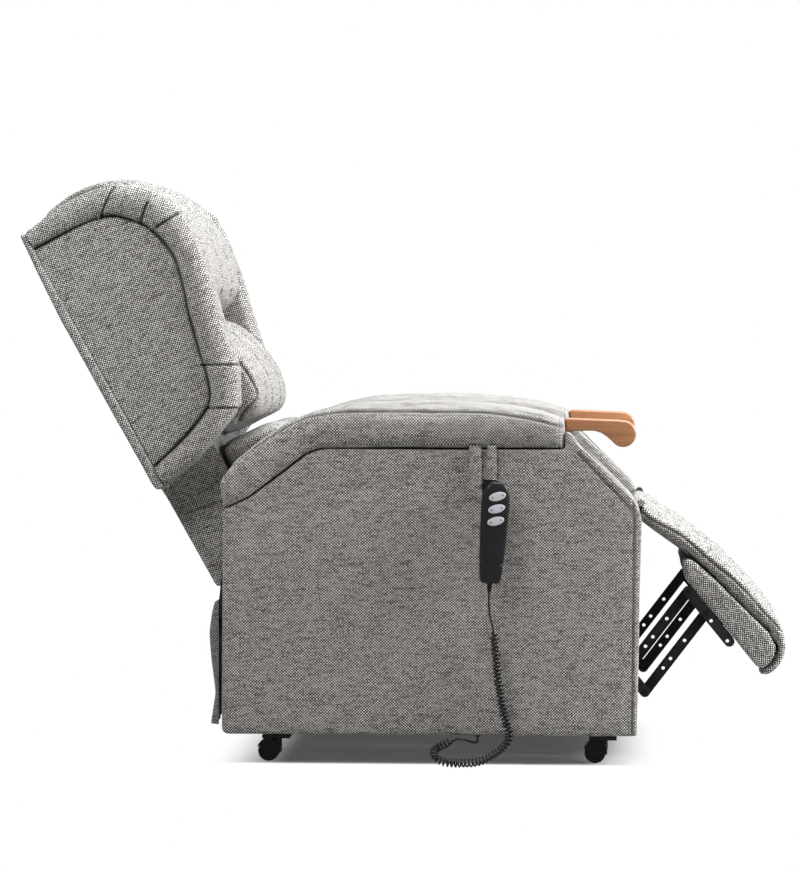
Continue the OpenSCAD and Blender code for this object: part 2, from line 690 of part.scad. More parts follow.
// One pair of parallel legrest bars, with a rivet in each end and open holes between
module leg_bars(top, low) color(steel) both_sides() {
    slab(inner_link_y - link_t, link_t) difference() {
        bar(low, top, link_w);
        for (f = [0.3, 0.42, 0.65]) translate(low + (top - low) * f) circle(r = 3.2);
    }
    for (p = [top, low]) {
        cross_pin(p, inner_link_y, link_y - link_t - clear, 8);
        cross_pin(p, inner_link_y, link_y + 1, rivet_r);
    }
}

module rear_links() leg_bars(rear_joint, rear_elbow);
module front_links() leg_bars(front_joint, front_elbow);

module legrest_board() color(fabric) in_legrest() slab(-plate_y + 1, 2 * plate_y - 2) polygon(board_outline);

module chaise_pad() color(fabric) in_legrest()
    padded(chaise_outline, channelled(plate_y - 1, 9, 8), banded = true);

// Each bracket has an inboard arm, through the board and the pad, to the hinge pin at the knee
bracket_len = 118;
flange_t = 3;
module legrest_brackets() color(steel) in_legrest() both_sides() {
    end = bracket_rear + [bracket_len, 0];
    y0 = link_y - link_t;
    arm_y = y0 - 16;
    rise = [board_x + 33, 11];
    foot = [board_x + 130, 0];
    flange_z = bracket_rear.y + link_w / 2 - flange_t;
    slab(y0, link_t) difference() {
        bar(bracket_rear, end, link_w);
        for (p = [bracket_rear, bracket_front]) translate(p) circle(r = rivet_r + run);
        for (x = [68, 115]) translate(bracket_rear + [x, -2]) circle(r = 3.2);
    }
    slab(arm_y, link_t) {
        bar([0, 0], [34, -4], 12);
        bar([34, -4], [100, 18], 13);
        bar([100, 18], rise, 14);
        bar(rise, foot, 14);
        bar(foot, [foot.x, flange_z + 7 + flange_t / 2], 14);
    }
    translate([bracket_front.x + 16, y0 - 26, flange_z])
        cube([end.x - bracket_front.x - 16, 30, flange_t]);
    cross_pin([0, 0], arm_y, plate_y + plate_t + 1, knee_pin_r);
}

// ---- Back ----

// Plywood with a steel rail along its foot, two hinge plates with pins, and the crank tab
module back_board() {
    rear = wing_rear;
    low = -20;
    color(board_wood) in_back() translate([rear, -230, low]) cube([board_rear_t, 460, 690]);
    color(steel) in_back() {
        translate([rear, -back_w / 2, low - 20]) cube([board_rear_t, back_w, 20]);
        both_sides() slab(back_w / 2, hinge_plate_t) {
            bar([0, 0], [-20, 150], 40);
            translate([rear, low]) square([-rear, -low]);
            translate([rear, low - 20]) square([board_rear_t, 30]);
        }
        both_sides() cross_pin([0, 0], back_w / 2, plate_y + plate_t + 1, pin_r);
        slab(-4, 8) difference() {
            union() {
                polygon([[rear, low - 18], [rear + board_rear_t, low - 18], back_crank + [14, 0],
                    back_crank - [14, 0]]);
                translate(back_crank) circle(r = pin_r + back_slack + 7);
            }
            translate(back_crank) circle(r = pin_r + back_slack);
        }
    }
}

module back_core() color(fabric_dark) in_back() translate([-33, -back_w / 2, -20])
    cube([core_front + 33, back_w, core_top + 20]);

// Two covers run forward from the outside back's foot, over the hinge plates
cover_y = back_w / 2 + hinge_plate_t + clear;
cover_t = 2.3;
module outside_back() color(fabric) in_back() {
    difference() {
        slab(-wing_out, 2 * wing_out) polygon([[-54, -46], [-54, 692], [-64, 692], [-73, 520], [-73, 180],
            [-70, 140], [-70, -46]]);
        both_sides() translate([-80, cover_y + cover_t, -60]) cube([40, 200, 222]);
    }
    both_sides() slab(cover_y, cover_t) difference() {
        polygon([[-60, -44], [30, -44], [core_front, -10], [core_front, 300], [-60, 300]]);
        circle(r = pin_r + clear);
    }
}

wing_stations = [[-wing_out, 58], [-wing_out + 3, 50], [-wing_out + 1, 34], [-wing_out + 12, 8],
    [-wing_out + 30, 0], [-wing_in - 16, 0], [-wing_in, 16]];
module wing_right() color(fabric) in_back() padded(wing_outline, wing_stations);
module wing_left() mirror([0, 1, 0]) wing_right();

module head_pillow() color(fabric) in_back() padded(head_outline, channelled(pillow_y, 14, 12), head_hub);
module lumbar_pillow() color(fabric) in_back() padded(lumbar_outline, channelled(pillow_y, 30, 14));
module lower_pillow() color(fabric) in_back() padded(lower_outline, channelled(pillow_y - 4, 24, 10));

module back_motor() actuator(back_motor_pivot, back_pin, 0, 205);
module back_rod() actuator_rod(back_motor_pivot, back_pin, 0, 8, 130);

// ---- Handset: drawn standing at its own origin, then hung from the loop ----

hand_lean = 4;
hand_turn = 14;
module in_handset() translate([165, -pad_out - 26, 425]) rotate([0, hand_lean, 0])
    rotate([0, 0, hand_turn]) children();

key_pitch = 22;
key_turn = 12;
key_gap = 0.8;
key_pin_r = 1.2;
key_rise = 1.6;
key_depth = 4;
boot_z = hand_l / 2 + 10;
boot_l = 16;
module key_place(k) translate([0, -hand_t / 2, hand_l / 2 - 26 - key_pitch * k]) rotate([90, 0, 0])
    rotate(key_turn) children();
module key_pin(r, l) translate([0, 0, -2.2]) rotate([90, 0, 0]) cylinder(r = r, h = l, center = true);

module handset_shell() color(plastic) in_handset() difference() {
    union() {
        translate([-hand_w / 2, -hand_t / 2, -hand_l / 2]) round_box([hand_w, hand_t, hand_l], 9);
        translate([-hand_w / 2 + 5, -hand_t / 2 + 3, -boot_z]) round_box([hand_w - 10, hand_t - 6, 11], 8);
    }
    for (k = [0:2]) key_place(k) {
        translate([0, 0, -key_depth - 2]) linear_extrude(12)
            stadium(key_l + 2 * key_gap, key_w + 2 * key_gap);
        key_pin(key_pin_r + run, key_w + 7);
    }
}

// Rocker keys: each tips about a pin across its middle
module key(k) color(grey_key) in_handset() key_place(k) {
    translate([0, 0, -key_depth]) linear_extrude(key_depth + key_rise) stadium(key_l, key_w);
    key_pin(key_pin_r, key_w + 6);
}
module key_top() key(0);
module key_middle() key(1);
module key_bottom() key(2);

module handset_clip() color(plastic) {
    w = strand_x[1][0] - strand_x[0][1] - 3;
    x0 = (strand_x[1][0] + strand_x[0][1] - w) / 2;
    z0 = strap_bend + 2;
    tip_y = strap_y + strap_t + 0.8;
    in_handset() translate([-hand_w / 2 + 3, hand_t / 2, 56]) cube([26, 2.5, 32]);
    translate([x0, -pad_out - 15, z0]) cube([w, tip_y + 2 + pad_out + 15, 4]);
    translate([x0, tip_y, z0 - 16]) cube([w, 2, 17]);
}

module cord_boot() color(plastic) in_handset() translate([0, 0, -boot_z]) mirror([0, 0, 1])
    cylinder(r1 = 5, r2 = 3, h = boot_l);

// ---- Cord: routes are chosen by hand, the helix is worked out ----

coil_route = [[164, -392, 241], [167, -393, 216], [172, -394, 163], [177, -395, 128], [183, -396, 98],
    [190, -398, 71], [193, -400, 57], [189, -402, 43], [176, -405, 29], [162, -409, 20],
    [148, -413, 13], [131, -418, 9], [114, -423, 8.6], [97, -426, 8.6], [80, -426, 10],
    [66, -422, 15], [58, -413, 23], [62, -402, 31], [74, -393, 37], [90, -386, 43]];

// Smooth curve through the route's points at parameter t from 0 to the last index
function spline(p, t) = let (n = len(p) - 1, i = min(floor(t), n - 1), u = t - i,
    a = p[max(i - 1, 0)], b = p[i], c = p[i + 1], d = p[min(i + 2, n)])
    0.5 * (2 * b + (c - a) * u + (2 * a - 5 * b + 4 * c - d) * u * u
    + (3 * b - a - 3 * c + d) * u * u * u);
function heading(p, t) = let (n = len(p) - 1)
    unit(spline(p, min(t + 0.02, n)) - spline(p, max(t - 0.02, 0)));
function side_of(h) = unit(cross(h, [0, 1, 0]));
// A tube's ring round c, square to heading h
function tube_ring(c, h, r, sides) = let (s = side_of(h), w = cross(s, h))
    [for (i = [0:sides - 1]) c + r * (cos(360 * i / sides) * s + sin(360 * i / sides) * w)];

module tube(points, r, sides) {
    last = len(points) - 1;
    loft([for (i = [0:last]) tube_ring(points[i],
        unit(points[min(i + 1, last)] - points[max(i - 1, 0)]), r, sides)]);
}

coil_n = len(coil_route) - 1;
helix_r = (coil_d - wire_d) / 2;
curl_steps = 8;
coil_rings = curls * curl_steps;
coil_start = coil_route[0];
coil_end = coil_route[coil_n];
start_heading = heading(coil_route, 0);
end_heading = heading(coil_route, coil_n);
// Distance along the route against its parameter, for curls of even pitch
samples = 12 * coil_n;
pace = [for (i = 0, d = 0; i <= samples; i = i + 1, d = d + norm(spline(coil_route, i * coil_n / samples)
    - spline(coil_route, (i - 1) * coil_n / samples))) [d, i * coil_n / samples]];
coil_l = pace[samples][0];
// The first and the last curl open out from the cord's own line
function curl_r(k) = helix_r * min(1, k / curl_steps, (coil_rings - k) / curl_steps);
function helix_point(k) = let (t = lookup(coil_l * k / coil_rings, pace), h = heading(coil_route, t),
    s = side_of(h), w = cross(s, h), a = 360 * k / curl_steps)
    spline(coil_route, t) + curl_r(k) * (cos(a) * s + sin(a) * w);
coil_points = concat([coil_start - 1.2 * wire_d * start_heading, coil_start - 0.2 * wire_d * start_heading],
    [for (k = [1:coil_rings - 1]) helix_point(k)],
    [coil_end + 0.2 * wire_d * end_heading, coil_end + 1.2 * wire_d * end_heading]);
coil_first = coil_points[0];
coil_last = coil_points[len(coil_points) - 1];
// Gap between one curl and the next ones, surface to surface
least_gap = min([for (i = [0:len(coil_points) - 6], j = [i + 5:min(i + 60, len(coil_points) - 1)])
    norm(coil_points[i] - coil_points[j])]) - wire_d;
echo(least_gap = least_gap, coil_l = coil_l);

function hung(p) = [165 + p.z * sin(hand_lean), -pad_out - 26, 425 + p.z * cos(hand_lean)];
boot_end = hung([0, 0, -boot_z - boot_l]);
boot_heading = [-sin(hand_lean), 0, -cos(hand_lean)];
gland_face = [gland.x, gland.y, panel_z - 5];
upper_route = [boot_end, boot_end + 6 * boot_heading, [152, -404, 290], [150, -400, 270],
    coil_first - 2 * wire_d * start_heading, coil_first - 5 * clear * start_heading];
lower_route = [coil_last, coil_last + 4 * end_heading, coil_last + 8 * end_heading, [114, -371, 44],
    [126, -352, 38], [132, -341, 36.5], gland_face - [0, 0, 2 * wire_d], gland_face];
function route_points(p, steps) = [for (k = [0:(len(p) - 1) * steps]) spline(p, k / steps)];

module handset_cable() color(plastic) tube(route_points(upper_route, 3), wire_d / 2, 8);
module curly_cord() color(plastic) tube(coil_points, wire_d / 2, 6);
module chair_cable() color(plastic) tube(route_points(lower_route, 3), wire_d / 2, 8);

base_frame();
base_bolts();
castor_fork_rear_right();
castor_fork_rear_left();
castor_fork_front_right();
castor_fork_front_left();
castor_wheels_rear_right();
castor_wheels_rear_left();
castor_wheels_front_right();
castor_wheels_front_left();
lift_arms();
lift_links();
lift_motor();
lift_rod();
chassis_frame();
chassis_bolts();
seat_deck();
seat_cushion();
side_panel_right();
side_panel_left();
inner_panel_right();
inner_panel_left();
arm_border_right();
arm_border_left();
arm_pad_right();
arm_pad_left();
knuckle_right();
knuckle_left();
arm_frames();
rear_flap();
control_box();
handset_loop();
cable_gland();
leg_motor();
leg_drive_block();
back_board();
back_core();
outside_back();
wing_right();
wing_left();
head_pillow();
lumbar_pillow();
lower_pillow();
back_motor();
back_rod();
legrest_board();
chaise_pad();
legrest_brackets();
lower_links();
rear_links();
front_links();
handset_shell();
handset_clip();
key_top();
key_middle();
key_bottom();
cord_boot();
handset_cable();
curly_cord();
chair_cable();
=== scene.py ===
import math
import bmesh
import bpy
import numpy as np
from mathutils import Matrix, Vector


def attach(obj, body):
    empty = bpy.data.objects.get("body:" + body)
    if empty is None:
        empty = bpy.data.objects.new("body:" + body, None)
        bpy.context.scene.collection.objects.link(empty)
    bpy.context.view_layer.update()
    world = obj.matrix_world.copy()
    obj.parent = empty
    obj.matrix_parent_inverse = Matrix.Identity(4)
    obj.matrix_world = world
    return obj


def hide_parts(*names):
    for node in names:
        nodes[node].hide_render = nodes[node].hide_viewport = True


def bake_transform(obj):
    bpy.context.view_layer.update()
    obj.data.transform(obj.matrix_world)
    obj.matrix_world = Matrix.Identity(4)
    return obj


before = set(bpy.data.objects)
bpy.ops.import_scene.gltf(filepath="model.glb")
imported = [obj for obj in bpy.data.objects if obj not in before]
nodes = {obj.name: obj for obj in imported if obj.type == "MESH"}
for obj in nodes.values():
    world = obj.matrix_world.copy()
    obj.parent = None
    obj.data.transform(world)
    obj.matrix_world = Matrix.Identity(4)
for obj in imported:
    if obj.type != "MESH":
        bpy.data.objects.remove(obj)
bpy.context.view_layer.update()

mm = 0.001
print("frame loaded:", len(nodes), "nodes")


# ---- small tools ----

weld = 0.00001         # points closer than this are one


def pickNone():
    if bpy.context.mode != "OBJECT":
        bpy.ops.object.mode_set(mode="OBJECT")
    bpy.ops.object.select_all(action="DESELECT")


def pick(ob):
    pickNone()
    ob.select_set(True)
    bpy.context.view_layer.objects.active = ob


def setAll(thing, settings):
    for key, value in settings.items():
        setattr(thing, key, value)


def applyModifier(ob, kind, **settings):
    pick(ob)
    mod = ob.modifiers.new(kind.lower(), kind)
    setAll(mod, settings)
    bpy.ops.object.modifier_apply(modifier=mod.name)


def bevelEdges(ob, width, segments):
    applyModifier(ob, "BEVEL", width=width, segments=segments, limit_method="ANGLE",
                  angle_limit=math.radians(50))


def freeze(ob):
    # the place goes into the mesh, so the object sits at the origin
    pick(ob)
    bpy.ops.object.transform_apply(location=True, rotation=True, scale=True)


def editAll(ob):
    pick(ob)
    bpy.ops.object.mode_set(mode="EDIT")
    bpy.ops.mesh.select_all(action="SELECT")


def fixNormals(ob):
    editAll(ob)
    bpy.ops.mesh.remove_doubles(threshold=weld)
    bpy.ops.mesh.normals_make_consistent(inside=False)
    bpy.ops.object.mode_set(mode="OBJECT")


def smoothShade(ob, angle=None):
    pick(ob)
    if angle is None:
        bpy.ops.object.shade_smooth()
    else:
        bpy.ops.object.shade_smooth_by_angle(angle=math.radians(angle))


def addObject(name, data):
    ob = bpy.data.objects.new(name, data)
    bpy.context.scene.collection.objects.link(ob)
    return ob


def addCylinder(radius, depth, at, vertices):
    # it lies across the chair
    pickNone()
    bpy.ops.mesh.primitive_cylinder_add(vertices=vertices, radius=radius, depth=depth, location=at,
                                        rotation=(math.pi / 2, 0, 0))
    return bpy.context.active_object


def cutAway(ob, cutter):
    applyModifier(ob, "BOOLEAN", object=cutter, operation="DIFFERENCE", solver="EXACT")
    bpy.data.objects.remove(cutter)


def newMesh(name, verts, faces):
    mesh = bpy.data.meshes.new(name)
    mesh.from_pydata([list(v) for v in verts], [], [list(f) for f in faces])
    return addObject(name, mesh)


def setMaterial(ob, material):
    ob.data.materials.clear()
    ob.data.materials.append(material)


def cadCopy(name, *parts):
    # a merged copy of the frame's own shapes, to work up into the finished piece
    bm = bmesh.new()
    for part in parts:
        bm.from_mesh(nodes[part].data)
    bmesh.ops.remove_doubles(bm, verts=bm.verts, dist=weld)
    mesh = bpy.data.meshes.new(name)
    bm.to_mesh(mesh)
    bm.free()
    return addObject(name, mesh)


def getCo(ob):
    co = np.empty(len(ob.data.vertices) * 3)
    ob.data.vertices.foreach_get("co", co)
    return co.reshape(-1, 3)


def setCo(ob, co):
    ob.data.vertices.foreach_set("co", np.asarray(co, float).ravel())
    ob.data.update()


def getNormals(ob):
    out = np.empty(len(ob.data.vertices) * 3)
    ob.data.vertex_normals.foreach_get("vector", out)
    return out.reshape(-1, 3)


def getNet(ob):
    return getCo(ob), getNormals(ob)


def dress(ob, material, body, slot, *replaced):
    setMaterial(ob, material)
    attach(ob, body)
    if replaced:
        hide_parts(*replaced)


def mirrored(ob, name):
    # the same piece for the chair's other side, with its own mesh
    mesh = ob.data.copy()
    mesh.name = name
    mesh.transform(Matrix.Scale(-1, 4, (0, 1, 0)))
    mesh.flip_normals()
    return addObject(name, mesh)


# side view places [x, z] in millimetres, on pieces that lean
leans = {
    "upright": (0.0, 0.0, 0.0),
    "back": (-310.0, 380.0, 29.0),
    "legrest": (428.0, 466.0, -50.8),
}


def leanTurn(lean):
    angle = math.radians(leans[lean][2])
    return math.cos(angle), math.sin(angle)


def fromWorld(co, lean):
    px, pz, _ = leans[lean]
    c, s = leanTurn(lean)
    dx, dz = co[:, 0] / mm - px, co[:, 2] / mm - pz
    return np.stack([dx * c + dz * s, co[:, 1] / mm, -dx * s + dz * c], 1)


def toWorld(local, lean):
    px, pz, _ = leans[lean]
    c, s = leanTurn(lean)
    lx, lz = local[:, 0], local[:, 2]
    return np.stack([px + lx * c - lz * s, local[:, 1], pz + lx * s + lz * c], 1) * mm


def awayFrom(points, line):
    # distance from each point to the nearest piece of a line, and which side it is on
    best = np.full(len(points), 1e9)
    side = np.zeros(len(points))
    for a, b in zip(line[:-1], line[1:]):
        a, b = np.array(a, float), np.array(b, float)
        d = b - a
        t = np.clip(((points - a) @ d) / (d @ d), 0, 1)
        off = points - (a + t[:, None] * d)
        dist = np.linalg.norm(off, axis=1)
        if points.shape[1] == 2:
            s = np.sign(d[0] * off[:, 1] - d[1] * off[:, 0])
            side = np.where(dist < best - 1e-9, s, side)
        best = np.minimum(best, dist)
    return best, side


def betweenPoints(a, b, c, d, u):
    # a smooth curve from b to c that also heeds its neighbours
    return 0.5 * (2 * b + (c - a) * u + (2 * a - 5 * b + 4 * c - d) * u * u
                  + (3 * b - a - 3 * c + d) * u ** 3)


def dense(line, step=4.0):
    # a smooth run of points through the corners of a line
    p = np.array(line, float)
    out = []
    for i in range(len(p) - 1):
        a, b = p[max(i - 1, 0)], p[i]
        c, d = p[i + 1], p[min(i + 2, len(p) - 1)]
        n = max(2, int(np.linalg.norm(c - b) / step))
        for k in range(n):
            out.append(betweenPoints(a, b, c, d, k / n))
    out.append(p[-1])
    return np.array(out)


def paintSeamShade(ob, amount):
    # painted shade: how deep in a seam each point lies, which darkens the cloth's colour there
    mesh = ob.data
    layer = mesh.attributes.get("seamShade") or mesh.attributes.new("seamShade", "FLOAT", "POINT")
    old = np.zeros(len(mesh.vertices), np.float32)
    layer.data.foreach_get("value", old)
    layer.data.foreach_set("value", np.maximum(old, amount).astype(np.float32))


def pressSeam(ob, line, lean, side, depth=2.4, width=2.2, lip=0.35, reach=(0, 400), shadeAmount=0.75):
    # sews a line into the face that looks to one side (-1 right, 1 left, 0 both)
    co, nor = getNet(ob)
    local = fromWorld(co, lean)
    dist, _ = awayFrom(local[:, [0, 2]], dense(line))
    away = np.abs(local[:, 1])
    mask = (away > reach[0]) & (away < reach[1]) & (np.abs(nor[:, 1]) > 0.25)
    if side:
        mask &= (local[:, 1] * side > 0) & (nor[:, 1] * side > 0.2)
    push = -depth * np.exp(-(dist / width) ** 2)
    push += depth * lip * np.exp(-((dist - 2.6 * width) / (1.3 * width)) ** 2)
    setCo(ob, co + nor * (push * mask)[:, None] * mm)
    # painted shade along the seam's groove
    paintSeamShade(ob, shadeAmount * np.exp(-(dist / (0.9 * width)) ** 2) * mask)


def pressFold(ob, line, lean, depth, width):
    # a tucked pleat: the cloth on one side of the line stands over the other
    co, nor = getNet(ob)
    local = fromWorld(co, lean)
    dist, side = awayFrom(local[:, [0, 2]], dense(line))
    push = -depth * np.exp(-(dist / width) ** 2)
    push += depth * 0.5 * np.where(side > 0, np.exp(-dist / (4 * width)), 0) * (dist > 0.6 * width)
    mask = (local[:, 1] < backSet["ribs"][0]) & (nor[:, 1] < 0.3)
    setCo(ob, co + nor * (push * mask)[:, None] * mm)
    # painted shade along the pleat's fold
    paintSeamShade(ob, 0.7 * np.exp(-(dist / (0.8 * width)) ** 2) * mask)


def pressRib(ob, at, lean, depth, width, face=None, axis=1, shadeAmount=0.0):
    # a sewn channel along a plane across the piece
    co, nor = getNet(ob)
    local = fromWorld(co, lean)
    near = np.exp(-((local[:, axis] - at) / width) ** 2)
    if face is not None:
        ahead = np.array([face[0], 0, face[1]], float)
        near *= np.clip((nor @ ahead) * 1.6 + 0.1, 0, 1)
    setCo(ob, co - nor * (near * depth)[:, None] * mm)
    # painted shade in the channel, by the amount given
    paintSeamShade(ob, shadeAmount * near ** 2)


def ripple(ob, size, height, seed=0.0):
    # slow unevenness of stuffed cloth, the same on every run
    co, nor = getNet(ob)
    q = co / (size * mm)
    wave = (np.sin(q[:, 0] * 1.7 + 1.3 * np.sin(q[:, 2] * 0.9 + seed) + seed)
            * np.sin(q[:, 2] * 1.3 + 1.1 * np.sin(q[:, 1] * 1.2 - seed))
            + 0.6 * np.sin(q[:, 1] * 2.3 + q[:, 0] * 0.8 + 2 * seed) * np.sin(q[:, 2] * 2.1 - q[:, 0]))
    setCo(ob, co + nor * (wave * height * 0.6)[:, None] * mm)


clothSet = {
    "quality": 4, "mass": 0.4, "tension_stiffness": 12, "compression_stiffness": 12, "shear_stiffness": 6,
    "bending_stiffness": 0.6, "use_pressure": True, "uniform_pressure_force": 3.0,
}
clothFrames = 20


def swell(ob, cap, still=None):
    # cloth filled from inside; the far end of its travel is held to the cap
    before = getCo(ob)
    group = ob.vertex_groups.new(name="held")
    holds = still is not None and still.any()
    if holds:
        group.add([int(i) for i in np.nonzero(still)[0]], 1.0, "REPLACE")
    pick(ob)
    mod = ob.modifiers.new("cloth", "CLOTH")
    setAll(mod.settings, clothSet)
    mod.settings.effector_weights.gravity = 0
    mod.collision_settings.use_collision = False
    if holds:
        mod.settings.vertex_group_mass = "held"
    scene = bpy.context.scene
    for f in range(1, clothFrames + 1):
        scene.frame_set(f)
    shown = ob.evaluated_get(bpy.context.evaluated_depsgraph_get())
    after = np.empty(len(shown.data.vertices) * 3)
    shown.data.vertices.foreach_get("co", after)
    after = after.reshape(-1, 3)
    ob.modifiers.remove(mod)
    ob.vertex_groups.remove(group)
    scene.frame_set(1)
    move = after - before
    long = np.linalg.norm(move, axis=1)
    cap = cap * mm
    setCo(ob, before + move * (cap * np.tanh(long / cap) / np.maximum(long, 1e-9))[:, None])


def evenNet(ob, voxel, rounds):
    # an even net over a solid, its corners eased
    applyModifier(ob, "REMESH", mode="VOXEL", voxel_size=voxel * mm)
    applyModifier(ob, "SMOOTH", factor=0.5, iterations=rounds)


def softShape(name, *parts, voxel, rounds, shrink=0.0):
    ob = cadCopy(name, *parts)
    evenNet(ob, voxel, rounds)
    if shrink:
        setCo(ob, getCo(ob) - getNormals(ob) * shrink * mm)
    return ob


def finer(ob):
    applyModifier(ob, "SUBSURF", levels=1, render_levels=1)


def tubeAlong(name, points, radius, sides=6):
    # a round sheath along points in metres
    curve = bpy.data.curves.new(name, "CURVE")
    curve.dimensions = "3D"
    curve.bevel_depth = radius
    curve.bevel_resolution = max(1, sides // 4)
    curve.use_fill_caps = True
    spline = curve.splines.new("POLY")
    spline.points.add(len(points) - 1)
    for p, at in zip(spline.points, points):
        p.co = (*at, 1)
    ob = addObject(name, curve)
    pick(ob)
    bpy.ops.object.convert(target="MESH")
    fixNormals(ob)
    return ob


def joinInto(ob, extras):
    pickNone()
    for e in extras:
        e.select_set(True)
    ob.select_set(True)
    bpy.context.view_layer.objects.active = ob
    bpy.ops.object.join()


# ---- camera ----

camSet = {
    "place": (0.3897, -6.997, 0.7984),
    "tilt": (88.2075, 0, 3.403),
    "lens": 152.75, "sensor": 36, "reach": 60,
}

camData = bpy.data.cameras.new("camera")
camera = addObject("camera", camData)
camera.location = camSet["place"]
camera.rotation_euler = [math.radians(a) for a in camSet["tilt"]]
camData.lens = camSet["lens"]
camData.sensor_width = camSet["sensor"]
camData.clip_end = camSet["reach"]
bpy.context.scene.camera = camera


# ---- materials ----

def addNode(tree, kind, inputs=None, **props):
    made = tree.nodes.new("ShaderNode" + kind)
    setAll(made, props)
    for key, value in (inputs or {}).items():
        if isinstance(value, bpy.types.NodeSocket):
            tree.links.new(value, made.inputs[key])
        else:
            made.inputs[key].default_value = value
    return made


def maths(tree, how, a, b=0.0, c=0.0, clamp=False):
    return addNode(tree, "Math", {0: a, 1: b, 2: c}, operation=how, use_clamp=clamp).outputs[0]


def times(tree, a, b):
    return maths(tree, "MULTIPLY", a, b)


def mixVectors(tree, fac, a, b):
    return addNode(tree, "Mix", {0: fac, 4: a, 5: b}, data_type="VECTOR").outputs[1]


def mixColours(tree, fac, a, b):
    return addNode(tree, "Mix", {0: fac, 6: a, 7: (*b, 1)}, data_type="RGBA").outputs[2]


def joinXyz(tree, x, y):
    return addNode(tree, "CombineXYZ", {0: x, 1: y}).outputs[0]


def splitXyz(tree, vector):
    return addNode(tree, "SeparateXYZ", {0: vector}).outputs


def vectorMaths(tree, how, a, **more):
    return addNode(tree, "VectorMath", {0: a, **more}, operation=how).outputs[0]


def noise(tree, at, scale, detail, **more):
    return addNode(tree, "TexNoise", {"Vector": at, "Scale": scale, "Detail": detail, **more}).outputs


def ramp(tree, fac, stops):
    made = addNode(tree, "ValToRGB", {"Fac": fac})
    elements = made.color_ramp.elements
    while len(elements) < len(stops):
        elements.new(0.5)
    for e, (at, colour) in zip(elements, stops):
        e.position = at
        e.color = (*colour, 1)
    return made.outputs["Color"]


def addBump(tree, shader, strength, distance, height):
    bump = addNode(tree, "Bump", {"Strength": strength, "Distance": distance, "Height": height})
    tree.links.new(bump.outputs[0], shader.inputs["Normal"])


def newMaterial(name):
    material = bpy.data.materials.new(name)
    material.use_nodes = True
    tree = material.node_tree
    return material, tree, tree.nodes["Principled BSDF"]


tweedSet = {
    "pitch": 2.7,          # one yarn, mm
    "dark": (0.013, 0.011, 0.009),
    "low": (0.105, 0.094, 0.082),
    "mid": (0.360, 0.333, 0.301),
    "pale": (0.890, 0.853, 0.802),
    # near-black painted shade for seams, pleats and channels
    "seam": (0.014, 0.013, 0.012),
    "sheen": 0.15,
    "stops": (0.0, 0.34, 0.58, 1.0),
    "drift": (14.0, 1.6),  # how often the yarns wander, and by how many yarns
    "slub": (0.11, 0.3),   # stretch of the thick places along weft and warp
    # tone from thick places, single yarns and weft over warp, and what is taken off
    "weights": (1.25, 0.36, 0.78, 0.72),
    # how far each yarn's colour darkens toward its edges, as painted shade between the yarns
    "crown": (0.8, 0.36),
    "bump": (0.75, 0.0011),
    "rough": (0.12, 0.84),
}


